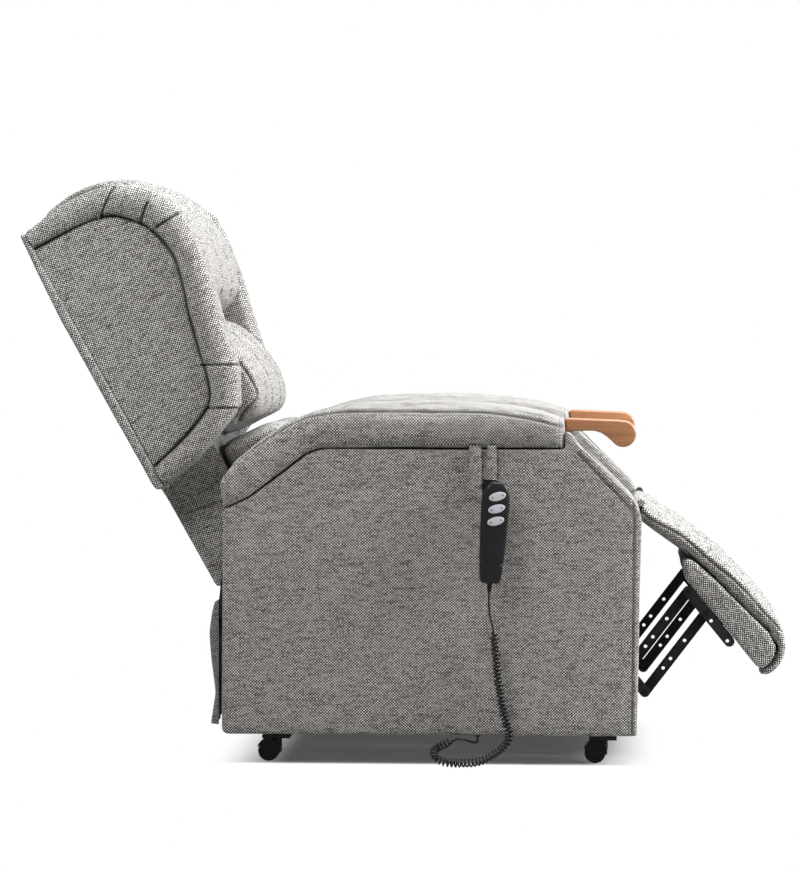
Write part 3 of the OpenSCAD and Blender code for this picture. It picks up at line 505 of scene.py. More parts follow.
def tweedMaterial(name, angle=0.0, across=False, darken=1.0):
    # a plain weave of thick slubby yarns, laid square to each face of the piece
    material, tree, shader = newMaterial(name)
    place = addNode(tree, "TexCoord")
    turn = {"Angle": math.radians(angle), "Axis": (0, 1, 0)}
    at = addNode(tree, "VectorRotate", {"Vector": place.outputs["Object"], **turn}).outputs[0]
    facing = addNode(tree, "VectorRotate", {"Vector": place.outputs["Normal"], **turn}).outputs[0]
    a, n = splitXyz(tree, at), splitXyz(tree, facing)
    nx, ny, nz = [maths(tree, "ABSOLUTE", n[k]) for k in range(3)]
    isY = maths(tree, "GREATER_THAN", ny, maths(tree, "MAXIMUM", nx, nz))
    isX = maths(tree, "GREATER_THAN", nx, nz)
    k = 1000 / tweedSet["pitch"]

    def pair(u, v):
        return joinXyz(tree, times(tree, u, k), times(tree, v, k * 1.06))

    flat = pair(a[1], a[0]) if across else pair(a[0], a[1])
    uv = mixVectors(tree, isY, mixVectors(tree, isX, flat, pair(a[1], a[2])), pair(a[0], a[2]))
    # yarns wander a little
    often, far = tweedSet["drift"]
    drift = vectorMaths(tree, "SCALE", noise(tree, at, often, 2.0)["Color"], Scale=far)
    uv = addNode(tree, "VectorMath", {0: uv, 1: drift}).outputs[0]
    cell = vectorMaths(tree, "FLOOR", uv)
    c, f = splitXyz(tree, cell), splitXyz(tree, vectorMaths(tree, "FRACTION", uv))
    uvPart = splitXyz(tree, uv)
    over = maths(tree, "PINGPONG", maths(tree, "ADD", c[0], c[1]), 1.0)
    spot = addNode(tree, "TexWhiteNoise", {"Vector": cell}, noise_dimensions="3D").outputs["Value"]
    # each yarn has its own run of thick and thin places
    slubWeft, slubWarp = tweedSet["slub"]
    weftAt = joinXyz(tree, times(tree, uvPart[0], slubWeft), times(tree, c[1], 3.7))
    warpAt = joinXyz(tree, times(tree, c[0], 5.3), times(tree, uvPart[1], slubWarp))
    weft, warp = noise(tree, weftAt, 1.0, 2.0)["Fac"], noise(tree, warpAt, 1.0, 1.0)["Fac"]
    yarn = addNode(tree, "Mix", {0: over, 2: warp, 3: weft}).outputs[0]
    byYarn, bySpot, byOver, less = tweedSet["weights"]
    tone = maths(tree, "ADD", times(tree, yarn, byYarn), times(tree, spot, bySpot))
    tone = maths(tree, "ADD", tone, times(tree, over, byOver))
    tone = maths(tree, "SUBTRACT", tone, less, clamp=True)
    bulge = times(tree, maths(tree, "SINE", times(tree, f[0], math.pi)),
                  maths(tree, "SINE", times(tree, f[1], math.pi)))
    crown = maths(tree, "POWER", bulge, 0.55)
    # each yarn's colour darkens toward its edges: painted shade between the yarns
    shown = times(tree, tone, maths(tree, "MULTIPLY_ADD", crown, *tweedSet["crown"]))
    stops = zip(tweedSet["stops"], [tweedSet[shade] for shade in ("dark", "low", "mid", "pale")])
    colour = ramp(tree, shown, [(p, tuple(darken * v for v in rgb)) for p, rgb in stops])
    # painted shade deep in the seams, pleats and channels, standing also for their thread
    seamShade = addNode(tree, "Attribute", attribute_name="seamShade").outputs["Fac"]
    colour = mixColours(tree, seamShade, colour, tweedSet["seam"])
    tree.links.new(colour, shader.inputs["Base Color"])
    fuzz = noise(tree, at, 1500.0, 1.0)["Fac"]
    height = maths(tree, "ADD", crown, times(tree, maths(tree, "ADD", fuzz, spot), 0.35))
    addBump(tree, shader, *tweedSet["bump"], height)
    tree.links.new(maths(tree, "MULTIPLY_ADD", spot, *tweedSet["rough"]), shader.inputs["Roughness"])
    shader.inputs["Sheen Weight"].default_value = tweedSet["sheen"]
    shader.inputs["Sheen Roughness"].default_value = 0.45
    shader.inputs["Specular IOR Level"].default_value = 0.25
    return material


def paintMaterial(name, colour, rough, metal=0.0, grain=900.0, spread=0.25, bumpHeight=0.00006,
                  wear=None, shine=0.5):
    # paint, moulding or plating with its own fine texture and rubbed edges
    material, tree, shader = newMaterial(name)
    at = addNode(tree, "TexCoord").outputs["Object"]
    fine, slow = noise(tree, at, grain, 3.0)["Fac"], noise(tree, at, 22.0, 4.0)["Fac"]
    mixed = maths(tree, "MULTIPLY_ADD", fine, 0.4, times(tree, slow, 0.6))
    lo = tuple(v * (1 - spread) for v in colour)
    hi = tuple(min(1.0, v * (1 + spread)) for v in colour)
    base = ramp(tree, mixed, [(0.3, lo), (0.7, hi)])
    if wear:
        edge = addNode(tree, "NewGeometry").outputs["Pointiness"]
        rub = addNode(tree, "MapRange", {0: edge, 1: 0.53, 2: 0.60}).outputs[0]
        rub = times(tree, rub, slow)
        base = mixColours(tree, rub, base, wear)
    tree.links.new(base, shader.inputs["Base Color"])
    tree.links.new(maths(tree, "MULTIPLY_ADD", mixed, 0.3, rough - 0.15), shader.inputs["Roughness"])
    shader.inputs["Metallic"].default_value = metal
    shader.inputs["Specular IOR Level"].default_value = shine
    addBump(tree, shader, 0.5, bumpHeight, fine)
    return material


def woodMaterial(name, pale, dark, along=(0.06, 1, 1), ringScale=60.0, gloss=0.42, fleck=0.3):
    # growth rings and pores drawn out along the board
    material, tree, shader = newMaterial(name)
    at = addNode(tree, "TexCoord").outputs["Object"]
    stretched = addNode(tree, "Mapping", {"Vector": at, "Scale": along}).outputs[0]
    rings = noise(tree, stretched, ringScale, 5.0, Distortion=0.8)["Fac"]
    pores = noise(tree, stretched, ringScale * 22, 2.0)["Fac"]
    tone = maths(tree, "MULTIPLY_ADD", pores, fleck, times(tree, rings, 1.0 - fleck))
    middle = tuple(0.5 * (p + d) for p, d in zip(pale, dark))
    colour = ramp(tree, tone, [(0.34, dark), (0.5, middle), (0.66, pale)])
    tree.links.new(colour, shader.inputs["Base Color"])
    tree.links.new(maths(tree, "MULTIPLY_ADD", pores, 0.2, gloss - 0.1), shader.inputs["Roughness"])
    addBump(tree, shader, 0.3, 0.00015, tone)
    shader.inputs["Coat Weight"].default_value = 0.15
    shader.inputs["Coat Roughness"].default_value = 0.35
    return material


tweed = tweedMaterial("tweed")
tweedBack = tweedMaterial("tweedBack", angle=29.0, across=True)
tweedLegrest = tweedMaterial("tweedLegrest", angle=-50.8, across=True)
tweedSeat = tweedMaterial("tweedSeat", across=True)
lining = tweedMaterial("lining", darken=0.72)
liningBack = tweedMaterial("liningBack", angle=29.0, across=True, darken=0.72)
blackSteel = paintMaterial("blackSteel", (0.0035, 0.0034, 0.0034), 0.5, wear=(0.03, 0.03, 0.03), shine=0.08)
platedSteel = paintMaterial("platedSteel", (0.56, 0.57, 0.58), 0.34, metal=1.0, grain=600.0, spread=0.12)
castAlloy = paintMaterial("castAlloy", (0.62, 0.63, 0.64), 0.4, metal=1.0, grain=400.0, spread=0.1)
blackPlastic = paintMaterial("blackPlastic", (0.005, 0.005, 0.0055), 0.42, grain=1800.0,
                             bumpHeight=0.00004, shine=0.14)
handPlastic = paintMaterial("handPlastic", (0.0035, 0.0037, 0.0046), 0.32, grain=2600.0,
                            bumpHeight=0.00003, shine=0.2)
keyPlastic = paintMaterial("keyPlastic", (0.40, 0.405, 0.42), 0.36, metal=0.25, grain=2600.0, spread=0.05)
rubber = paintMaterial("rubber", (0.005, 0.005, 0.0055), 0.55, grain=1200.0, shine=0.12)
cordSheath = paintMaterial("cordSheath", (0.004, 0.0042, 0.005), 0.3, grain=1400.0, shine=0.2)
beech = woodMaterial("beech", (0.41, 0.185, 0.074), (0.26, 0.098, 0.034))
plywood = woodMaterial("plywood", (0.62, 0.47, 0.29), (0.44, 0.31, 0.17), along=(0.15, 1, 1),
                       ringScale=30.0, gloss=0.7)
print("materials made")


# ---- handset cord ----

cordSet = {
    "wire": 3.4, "coil": 16.0, "curls": 58, "steps": 14, "sides": 8, "apart": 0.0004,
    "coilRoute": [(164, -392, 241), (167, -393, 216), (172, -394, 163), (177, -395, 128), (183, -396, 98),
                  (190, -398, 71), (193, -400, 57), (189, -402, 43), (176, -405, 29), (162, -409, 20),
                  (148, -413, 13), (131, -418, 9), (114, -423, 8.6), (97, -426, 8.6), (80, -426, 10),
                  (66, -422, 15), (58, -413, 23), (62, -402, 31), (74, -393, 37), (90, -386, 43)],
    "upper": [(156.5, -404, 290), (158.5, -399, 268)],
    "lower": [(114, -371, 44), (126, -352, 38), (132, -341, 36.5)],
    "gland": (134, -338, 47),
}
handSet = {"place": (165, -408, 425), "lean": 4.0, "turn": 14.0, "bootEnd": 112}  # mm below its middle


def asPoints(line):
    return [np.array(p, float) for p in line]


def unit(v):
    return v / max(np.linalg.norm(v), 1e-9)


def splineAt(p, t):
    n = len(p) - 1
    i = min(int(math.floor(t)), n - 1)
    return betweenPoints(p[max(i - 1, 0)], p[i], p[i + 1], p[min(i + 2, n)], t - i)


def headingAt(p, t):
    n = len(p) - 1
    return unit(splineAt(p, min(t + 0.02, n)) - splineAt(p, max(t - 0.02, 0)))


def coilPoints():
    route = asPoints(cordSet["coilRoute"])
    n = len(route) - 1
    samples = 12 * n
    ts = np.arange(samples + 1) * n / samples
    places = np.array([splineAt(route, t) for t in ts])
    run = np.concatenate([[0], np.cumsum(np.linalg.norm(np.diff(places, axis=0), axis=1))])
    r = (cordSet["coil"] - cordSet["wire"]) / 2
    steps, curls = cordSet["steps"], cordSet["curls"]
    rings = steps * curls
    out = []
    for k in range(1, rings):
        t = float(np.interp(run[-1] * k / rings, run, ts))
        h = headingAt(route, t)
        s = unit(np.cross(h, (0, 1, 0)))
        w = np.cross(s, h)
        a = 2 * math.pi * k / steps
        open_ = min(1, k / steps, (rings - k) / steps)
        out.append(splineAt(route, t) + r * open_ * (math.cos(a) * s + math.sin(a) * w))
    return route, headingAt(route, 0), headingAt(route, n), out


def makeCord():
    route, startWay, endWay, helix = coilPoints()
    wire = cordSet["wire"]
    lean, down = math.radians(handSet["lean"]), handSet["bootEnd"]
    x, y, z = handSet["place"]
    bootEnd = np.array([x - down * math.sin(lean), y, z - down * math.cos(lean)])
    away = np.array([-math.sin(lean), 0, -math.cos(lean)])
    first = route[0] - 1.2 * wire * startWay
    last = route[-1] + 1.2 * wire * endWay
    upper = [bootEnd, bootEnd + 6 * away, *asPoints(cordSet["upper"]), first - 2 * wire * startWay, first]
    gland = np.array(cordSet["gland"], float)
    lower = [last, last + 4 * endWay, last + 8 * endWay, *asPoints(cordSet["lower"]),
             gland - (0, 0, 2 * wire), gland]
    top, low = [[splineAt(line, k / 4) for k in range(4 * (len(line) - 1) + 1)] for line in (upper, lower)]
    path = [p * mm for p in [*top, *helix, *low]]
    kept = [path[0]]
    for p in path[1:]:
        if np.linalg.norm(p - kept[-1]) > cordSet["apart"]:
            kept.append(p)
    ob = tubeAlong("handsetCord", kept, wire / 2 * mm, cordSet["sides"])
    smoothShade(ob)
    setMaterial(ob, cordSheath)
    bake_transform(ob)
    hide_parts("handset_cable", "curly_cord", "chair_cable")


makeCord()


# ---- arms ----

armSet = {
    "welt": [(-319, 512), (-317, 525), (-291, 551), (-234, 591), (-185, 619), (-147, 628), (-85, 634),
             (53, 634), (154, 632), (230, 621), (291, 606)],
    "panelEdge": [(-327, 457), (-327, 60), (-315, 51), (407, 51), (415, 440), (400, 471), (314, 562)],
    "border": [(412, 52), (415, 440), (410, 456), (400, 471), (355, 518), (314, 561)],
    "proud": (2.0, 12, -360, 411, 566),    # how far the side face stands out, over what width, its ends
    "held": (-0.325, 0.284, 0.57),         # the pad's rear, front and underside
    "cap": 4.0, "seat": 2.6, "cross": 281,
    "seatBand": (-0.314, 0.050, 0.008),    # the pad's middle, half its width, and a fade
}


def makeArmShell():
    # side, front border and inner face are one upholstered box with a sewn line round its edge
    shell = softShape("armShellRight", "side_panel_right", "arm_border_right", "inner_panel_right",
                      voxel=4.2, rounds=2)
    finer(shell)
    co, nor = getNet(shell)
    local = fromWorld(co, "upright")
    edge = armSet["panelEdge"] + [armSet["panelEdge"][0]]
    dist, _ = awayFrom(local[:, [0, 2]], edge)
    # the side face stands out a little from its sewn edge
    height, width, outer, front, top = armSet["proud"]
    face = (nor[:, 1] < -0.7) & (local[:, 1] < outer) & (local[:, 0] < front) & (local[:, 2] < top)
    co[:, 1] -= height * (1 - np.exp(-dist / width)) * face * mm
    setCo(shell, co)
    for side in (-1, 1):
        pressSeam(shell, armSet["border"], "upright", side, depth=1.7, width=1.5, lip=0.2)
    ripple(shell, 95, 0.7, seed=2.1)
    smoothShade(shell)
    left = mirrored(shell, "armShellLeft")
    for ob, end in ((shell, "right"), (left, "left")):
        dress(ob, tweed, "chassis", "fabric",
              "side_panel_" + end, "arm_border_" + end, "inner_panel_" + end)


def makeArms():
    pad = softShape("armPadRight", "arm_pad_right", voxel=4.5, rounds=2)
    co = getCo(pad)
    rear, front, under = armSet["held"]
    still = (co[:, 2] < under) | (co[:, 0] > front) | (co[:, 0] < rear)
    swell(pad, armSet["cap"], still=still)
    finer(pad)
    # the near lower edge sits down on the box
    co, nor = getNet(pad)
    middle, half, fade = armSet["seatBand"]
    low = np.clip((np.abs(co[:, 1] - middle) - half) / fade, 0, 1) * np.clip(-nor[:, 2] / 0.5, 0, 1)
    co[:, [0, 2]] += nor[:, [0, 2]] * (armSet["seat"] * mm * low)[:, None]
    setCo(pad, co)
    pressSeam(pad, armSet["welt"], "upright", -1, depth=2.2, width=2.0, reach=(330, 400))
    pressSeam(pad, armSet["welt"], "upright", 1, depth=2.0, width=2.0)
    pressRib(pad, armSet["cross"], "upright", 1.4, 1.8, axis=0, shadeAmount=0.5)
    ripple(pad, 60, 1.1, seed=0.7)
    smoothShade(pad)
    left = mirrored(pad, "armPadLeft")
    for ob, node in ((pad, "arm_pad_right"), (left, "arm_pad_left")):
        dress(ob, tweed, "chassis", "fabric", node)


def makeHandles():
    grip = cadCopy("handleRight", "knuckle_right")
    editAll(grip)
    bpy.ops.mesh.dissolve_limited(angle_limit=math.radians(1))
    bpy.ops.object.mode_set(mode="OBJECT")
    bevelEdges(grip, 0.0045, 4)
    smoothShade(grip, 35)
    left = mirrored(grip, "handleLeft")
    dress(grip, beech, "chassis", "beech", "knuckle_right")
    dress(left, beech, "chassis", "beech", "knuckle_left")


makeArmShell()
makeArms()
makeHandles()
print("arms made")


# ---- back ----

backSet = {
    "seam": [(-58, 656), (-1, 655), (44, 653), (79, 647), (104, 637), (125, 617), (143, 596), (154, 571),
             (162, 536), (162, 509), (150, 457), (138, 421), (131, 392), (121, 350), (115, 316), (103, 277),
             (94, 261), (80, 248), (37, 229), (-11, 214), (-61, 202)],
    "pleats": [[(83, 648), (137, 690)], [(142, 605), (170, 628)], [(160, 581), (208, 584)]],
    "mitres": [[(112, 323), (176, 289)], [(85, 250), (137, 219)]],
    "panelMiddle": (40.0, 450.0),
    # the roll's crest, the panel's depth below it, its hollow, and the fall to the rim
    "crest": -326.0, "recess": 15.0, "dish": (5.0, 26), "fall": 26.0,
    # the sunk seam's depth and width, the painted seam shade's amount and width, and the roll's share of
    # the way to the rim
    "sewn": (5.0, 2.4), "shadeAmount": (0.95, 3.2), "rimShare": 0.93,
    "rim": [(-57, 692), (-2, 700), (42, 703), (84, 701), (133, 690), (159, 672), (187, 647), (202, 624),
            (215, 589), (217, 562), (215, 528), (208, 469), (188, 380), (174, 308), (169, 283), (138, 228),
            (122, 217), (57, 189), (25, 177), (-57, 161)],
    "channels": (-84.0, 84.0), "held": 4, "channel": 9.0, "stitch": 2.6,
    "headSeam": [(150, 424), (172, 470), (186, 545), (172, 632), (140, 680), (70, 708), (10, 712)],
    "gusset": [(177, 398), (163, 322), (170, 284), (171, 241), (164, 224), (131, 214), (110, 201)],
    "panelFront": -54.2, "ribs": (-262, 262),
}


def makeWings():
    wing = softShape("wingRight", "wing_right", voxel=4.0, rounds=4)
    finer(wing)
    co, nor = getNet(wing)
    local = fromWorld(co, "back")
    b = backSet
    seam = dense(b["seam"])
    dist, side = awayFrom(local[:, [0, 2]], seam)
    # inside is the side of the seam where the panel's middle lies
    _, sense = awayFrom(np.array([b["panelMiddle"]]), seam)
    s = np.where(side == sense[0], -dist, dist)
    outer = (nor[:, 1] < -0.15) & (local[:, 1] < -285)
    toRim, _ = awayFrom(local[:, [0, 2]], dense(b["rim"]))
    # a round roll from the seam out to the rim, and a flatter face inside the seam
    t = np.clip(s / np.maximum(s + toRim, 1e-6), 0, 1)
    bow = 1 - np.sqrt(np.clip(1 - (2 * t - 1) ** 2, 0, 1))
    (dish, dishReach), (sewn, sewnWidth), (shadeAmount, shadeWidth) = b["dish"], b["sewn"], b["shadeAmount"]
    rollFace = b["crest"] + bow * np.where(t < 0.5, b["recess"] + dish, b["fall"])
    panelFace = b["crest"] + b["recess"] - dish * (1 - np.exp(np.minimum(s, 0) / dishReach))
    face = np.where(s > 0, rollFace, panelFace) + sewn * np.exp(-(s / sewnWidth) ** 2)
    use = outer & (t < b["rimShare"])
    local[use, 1] = face[use]
    setCo(wing, toWorld(local, "back"))
    # painted shade along the seam between the roll and the panel
    paintSeamShade(wing, shadeAmount * np.exp(-(s / shadeWidth) ** 2) * outer)
    for line in b["pleats"]:
        pressFold(wing, line, "back", depth=6.0, width=3.0)
    for line in b["mitres"]:
        pressFold(wing, line, "back", depth=4.0, width=2.2)
    ripple(wing, 55, 1.1, seed=3.3)
    smoothShade(wing)
    left = mirrored(wing, "wingLeft")
    for ob, node in ((wing, "wing_right"), (left, "wing_left")):
        dress(ob, tweedBack, "back", "fabric", node)


def makePillow(name, node, cap, lean="back", body="back", material=tweedBack, face=(0.87, 0.48), dip=9.0,
               voxel=5.0, seed=0.0):
    ob = softShape(name, node, voxel=voxel, rounds=4, shrink=2.0)
    local = fromWorld(getCo(ob), lean)
    still = np.zeros(len(local), bool)
    for at in backSet["channels"]:
        still |= np.abs(local[:, 1] - at) < backSet["held"]
    swell(ob, cap, still=still)
    finer(ob)
    for at in backSet["channels"]:
        pressRib(ob, at, lean, dip, backSet["channel"], face=face)
        pressRib(ob, at, lean, dip * 0.5, backSet["stitch"], face=face, shadeAmount=0.7)
    ripple(ob, 65, 1.6, seed=seed)
    smoothShade(ob)
    dress(ob, material, body, "fabric", node)
    return ob


def makeBack():
    makeWings()
    head = makePillow("headPillow", "head_pillow", 4.0, seed=0.4)
    pressSeam(head, backSet["headSeam"], "back", 0, depth=2.6, width=2.4)
    lumbar = makePillow("lumbarPillow", "lumbar_pillow", 4.0, seed=1.9)
    pressSeam(lumbar, backSet["gusset"], "back", 0, depth=2.6, width=2.4)
    makePillow("lowerPillow", "lower_pillow", 6.0, seed=2.7, dip=4.0)
    core = softShape("backCore", "back_core", voxel=7.0, rounds=3)
    smoothShade(core)
    dress(core, liningBack, "back", "fabric_dark", "back_core")
    makeOutside()


coverSet = {
    "rows": 150, "columns": 50,
    # side view, in the back's leaning frame: a strip whose front edge runs back near its foot
    "low": -44, "knee": -10, "high": 300, "rear": -57.5, "front": 54, "toe": 30,
    "y": 244.3, "thick": 2.3, "inset": 0.2, "hole": 0.0054,
    "seam": [(-80, 106), (60, 84)], "hem": [(-52, -40), (-52, 300)],
}


def makeCover(side):
    # one layer of cloth over the side of the back's frame, with a hole for the hinge
    c = coverSet
    rows, columns, low, rear = c["rows"], c["columns"], c["low"], c["rear"]
    verts, faces = [], []
    for sheet in (0, 1):
        y = side * (c["y"] + (c["thick"] - 2 * c["inset"]) * sheet + c["inset"])
        for i in range(rows + 1):
            z = low + (c["high"] - low) * i / rows
            front = c["front"]
            if z <= c["knee"]:
                front = c["toe"] + (front - c["toe"]) * (z - low) / (c["knee"] - low)
            for j in range(columns + 1):
                verts.append((rear + (front - rear) * j / columns, y, z))
    wide = columns + 1
    sheetLong = wide * (rows + 1)
    for i in range(rows):
        for j in range(columns):
            a = i * wide + j
            faces.append((a, a + 1, a + wide + 1, a + wide))
            a += sheetLong
            faces.append((a, a + wide, a + wide + 1, a + 1))
    edge = list(range(wide)) + [i * wide + columns for i in range(1, rows + 1)]
    edge += [rows * wide + j for j in range(columns - 1, -1, -1)]
    edge += [i * wide for i in range(rows - 1, 0, -1)]
    for a, b in zip(edge, edge[1:] + edge[:1]):
        faces.append((a, a + sheetLong, b + sheetLong, b))
    cover = newMesh("cover", toWorld(np.array(verts, float), "back"), faces)
    fixNormals(cover)
    x, z, _ = leans["back"]
    cutAway(cover, addCylinder(c["hole"], 0.03, (x * mm, side * c["y"] * mm, z * mm), 32))
    pressSeam(cover, c["seam"], "back", side, depth=0.5, width=2.4)
    pressSeam(cover, c["hem"], "back", side, depth=0.4, width=2.0, shadeAmount=0.3)
    return cover


def makeOutside():
    # the panel is padding; the thin covers in front of it are left out of its net and made apart
    outside = cadCopy("outsideBack", "outside_back")
    bm = bmesh.new()
    bm.from_mesh(outside.data)
    c, s = leanTurn("back")
    cut = toWorld(np.array([[backSet["panelFront"], 0, 0]], float), "back")[0]
    geom = bm.verts[:] + bm.edges[:] + bm.faces[:]
    bmesh.ops.bisect_plane(bm, geom=geom, plane_co=cut, plane_no=(c, 0, s), clear_outer=True)
    bmesh.ops.holes_fill(bm, edges=[e for e in bm.edges if e.is_boundary])
    bm.to_mesh(outside.data)
    bm.free()
    evenNet(outside, 6, 3)
    finer(outside)
    for at in backSet["ribs"]:
        pressRib(outside, at, "back", 1.6, 2.2, face=(-0.87, -0.48), shadeAmount=0.6)
    ripple(outside, 110, 1.0, seed=1.1)
    joinInto(outside, [makeCover(-1), makeCover(1)])
    smoothShade(outside, 50)
    dress(outside, tweedBack, "back", "fabric", "outside_back")


makeBack()
print("back made")


# ---- seat and legrest ----

legSet = {
    "padWelt": [(12, -10), (44, -2), (91, 18), (138, 27), (177, 34), (216, 42), (267, 47), (295, 47),
                (321, 50), (340, 50)],
    "boardWelt": [(159, 9), (194, 16), (233, 20), (255, 25), (293, 29), (315, 35), (338, 34), (357, 29),
                  (370, 16), (385, -10)],
    "crossSeam": 148.0, "face": (0.63, 0.77),
    "knee": (0.428, 0.2508, 0.466), "capR": 7.1, "capDeep": 0.0068,
}


def makeSeat():
    seat = softShape("seatCushion", "seat_cushion", voxel=5.5, rounds=4, shrink=2.0)
    swell(seat, 8.0)
    finer(seat)
    ripple(seat, 80, 1.4, seed=0.9)
    smoothShade(seat)
    dress(seat, tweedSeat, "chassis", "fabric", "seat_cushion")


def makeLegrest():
    pad = makePillow("chaisePad", "chaise_pad", 4.5, lean="legrest", body="legrest", material=tweedLegrest,
                     face=legSet["face"], dip=3.5, voxel=4.5, seed=2.2)
    pressSeam(pad, legSet["padWelt"], "legrest", 0, depth=2.4, width=2.2, reach=(225, 300))
    pressRib(pad, legSet["crossSeam"], "legrest", 2.6, 2.4, face=legSet["face"], axis=0, shadeAmount=0.6)
    board = softShape("legrestBoard", "legrest_board", voxel=4.0, rounds=4)
    finer(board)
    pressSeam(board, legSet["boardWelt"], "legrest", 0, depth=2.2, width=2.0)
    ripple(board, 50, 1.0, seed=1.7)
    smoothShade(board)
    dress(board, tweedLegrest, "legrest", "fabric", "legrest_board")


def makeKneeCaps():
    # cloth gathered over the ends of the knee hinge
    caps = []
    x, y, z = legSet["knee"]
    for side in (-1, 1):
        cap = addCylinder(legSet["capR"] * mm, legSet["capDeep"], (x, side * y, z), 40)
        freeze(cap)
        bevelEdges(cap, 0.0022, 3)
        caps.append(cap)
    joinInto(caps[0], caps[1:])
    caps[0].name = "kneeCaps"
    smoothShade(caps[0], 50)
    dress(caps[0], tweed, "chassis", "fabric")


makeSeat()
makeLegrest()
makeKneeCaps()
print("seat and legrest made")


# ---- rear curtain and handset loop ----

curtainSet = {
    "top": 281.0, "drop": 225.0, "half": 246.5, "folds": 4, "hang": -345.3,
    "out": [(0, 9), (0.06, 14), (0.25, 19), (0.46, 15), (0.74, 6), (1, 14)],
    "columns": 128, "rows": 56, "thick": 1.8, "lap": 0.06, "round": 16, "turned": 27,
    "fold": 4, "plain": 0.12,
}


def makeCurtain():
    c = curtainSet
    pickNone()
    bpy.ops.mesh.primitive_grid_add(x_subdivisions=c["columns"], y_subdivisions=c["rows"], size=1)
    cloth = bpy.context.active_object
    cloth.name = "rearCurtain"
    co = getCo(cloth)
    # its ends turn forward round the corners of the frame
    wide = c["half"] - c["round"] + c["turned"]
    s = co[:, 0] * 2 * wide
    turn = np.clip((np.abs(s) - c["half"] + c["round"]) / c["turned"], 0, 1) * math.pi / 2
    y = np.sign(s) * np.where(turn > 0, c["half"] - c["round"] * (1 - np.sin(turn)), np.abs(s))
    # its first rows lap forward on to the rail that it is tacked to
    k = (0.5 - co[:, 1]) * (1 + c["lap"]) - c["lap"]
    lap = np.clip(-k / c["lap"], 0, 1)
    k = np.maximum(k, 0)
    at, out = zip(*c["out"])
    out = np.mean([np.interp(k + e, at, out) for e in (-0.03, 0, 0.03)], axis=0)
    fold = c["fold"] * k * np.sin(2 * math.pi * c["folds"] * y / (2 * c["half"])) * (k > c["plain"])
    x = c["hang"] - ((out - 1.5) * (1 - lap) + fold) * np.cos(turn) - 1.6 * lap
    z = c["top"] - 1.4 - (c["drop"] - 1.8) * k
    setCo(cloth, np.stack([x, y, z], 1) * mm)
    applyModifier(cloth, "SOLIDIFY", thickness=c["thick"] * mm, offset=0.0)
    fixNormals(cloth)
    smoothShade(cloth, 50)
    dress(cloth, lining, "chassis", "fabric_dark", "rear_flap")


loopSet = {
    "strands": ((120, 142), (153, 169)), "y": -379.5, "bend": 500.0, "top": 574.0, "thick": 3.0, "bow": 0.8,
    "steps": 8, "turnSteps": 14,
}


def makeLoop():
    # one length of strap: down, round the hook and up again
    s = loopSet
    (a0, a1), (b0, b1) = s["strands"]
    steps, around = s["steps"], s["turnSteps"]
    rows = []
    for k in range(steps + 1):
        z = s["top"] - (s["top"] - s["bend"]) * k / steps
        rows.append(((a0, z), (a1, z)))
    outR, inR = (b1 - a0) / 2, (b0 - a1) / 2
    cOut, cIn = (a0 + b1) / 2, (a1 + b0) / 2
    for k in range(1, around):
        a = math.pi + math.pi * k / around
        rows.append(((cOut + outR * math.cos(a), s["bend"] + outR * math.sin(a)),
                     (cIn + inR * math.cos(a), s["bend"] + inR * math.sin(a))))
    for k in range(steps + 1):
        z = s["bend"] + (s["top"] - s["bend"]) * k / steps
        rows.append(((b1, z), (b0, z)))
    verts, faces, wide = [], [], 5
    for i, (p, q) in enumerate(rows):
        for j in range(wide):
            u = j / (wide - 1)
            bow = s["bow"] * math.sin(math.pi * u)
            x, z = p[0] + (q[0] - p[0]) * u, p[1] + (q[1] - p[1]) * u
            verts.append((x * mm, (s["y"] - bow) * mm, z * mm))
    for i in range(len(rows) - 1):
        for j in range(wide - 1):
            a = i * wide + j
            faces.append((a, a + 1, a + wide + 1, a + wide))
    strap = newMesh("handsetLoop", verts, faces)
    applyModifier(strap, "SOLIDIFY", thickness=s["thick"] * mm, offset=0.0)
    bevelEdges(strap, 0.0009, 2)
    applyModifier(strap, "SUBSURF", levels=2, render_levels=2)
    fixNormals(strap)
    smoothShade(strap)
    dress(strap, tweed, "chassis", "fabric", "handset_loop")


makeCurtain()
makeLoop()
print("curtain and loop made")


# ---- handset ----

shellSet = {
    # height, half width, half depth
    "rings": [(-95.2, 11, 6.5), (-95.8, 14, 8), (-94, 16.8, 9.6), (-88, 19.0, 10.6), (-70, 20.6, 11.6),
              (-62.5, 21.2, 12.0), (-61.6, 20.2, 11.2), (-60.4, 20.2, 11.2), (-59.4, 21.6, 12.4),
              (-30, 22.6, 12.8), (10, 24.4, 13.0), (40, 24.8, 13.0), (58, 24.4, 13.0), (70, 22.4, 12.6),
              (78, 19.0, 11.6), (83, 14.6, 9.8), (85.6, 9.4, 7.0), (86.2, 5.0, 4.0)],
    "sides": 40, "power": 0.5, "gap": 0.8,
}
keySet = {
    "top": 60.0, "pitch": 22.0, "turn": 17.0, "face": -0.013, "half": (15.6, 7.6),
    "well": 4.0, "room": 1.7, "rise": 1.6,
    "mark": (0.0022, 0.0020, 0.0005), "markOut": 0.0094,
}


def turned(angle, axis):
    return Matrix.Rotation(math.radians(angle), 4, axis)


def handsetPlace():
    at = Matrix.Translation(Vector(handSet["place"]) * mm)
    return at @ turned(handSet["lean"], "Y") @ turned(handSet["turn"], "Z")


def keyPlace(k):
    # a frame in the middle of each key, its Z out of the handset's face
    up = (keySet["top"] - keySet["pitch"] * k) * mm
    return (handsetPlace() @ Matrix.Translation((0, keySet["face"], up)) @ turned(90, "X")
            @ turned(keySet["turn"], "Z"))


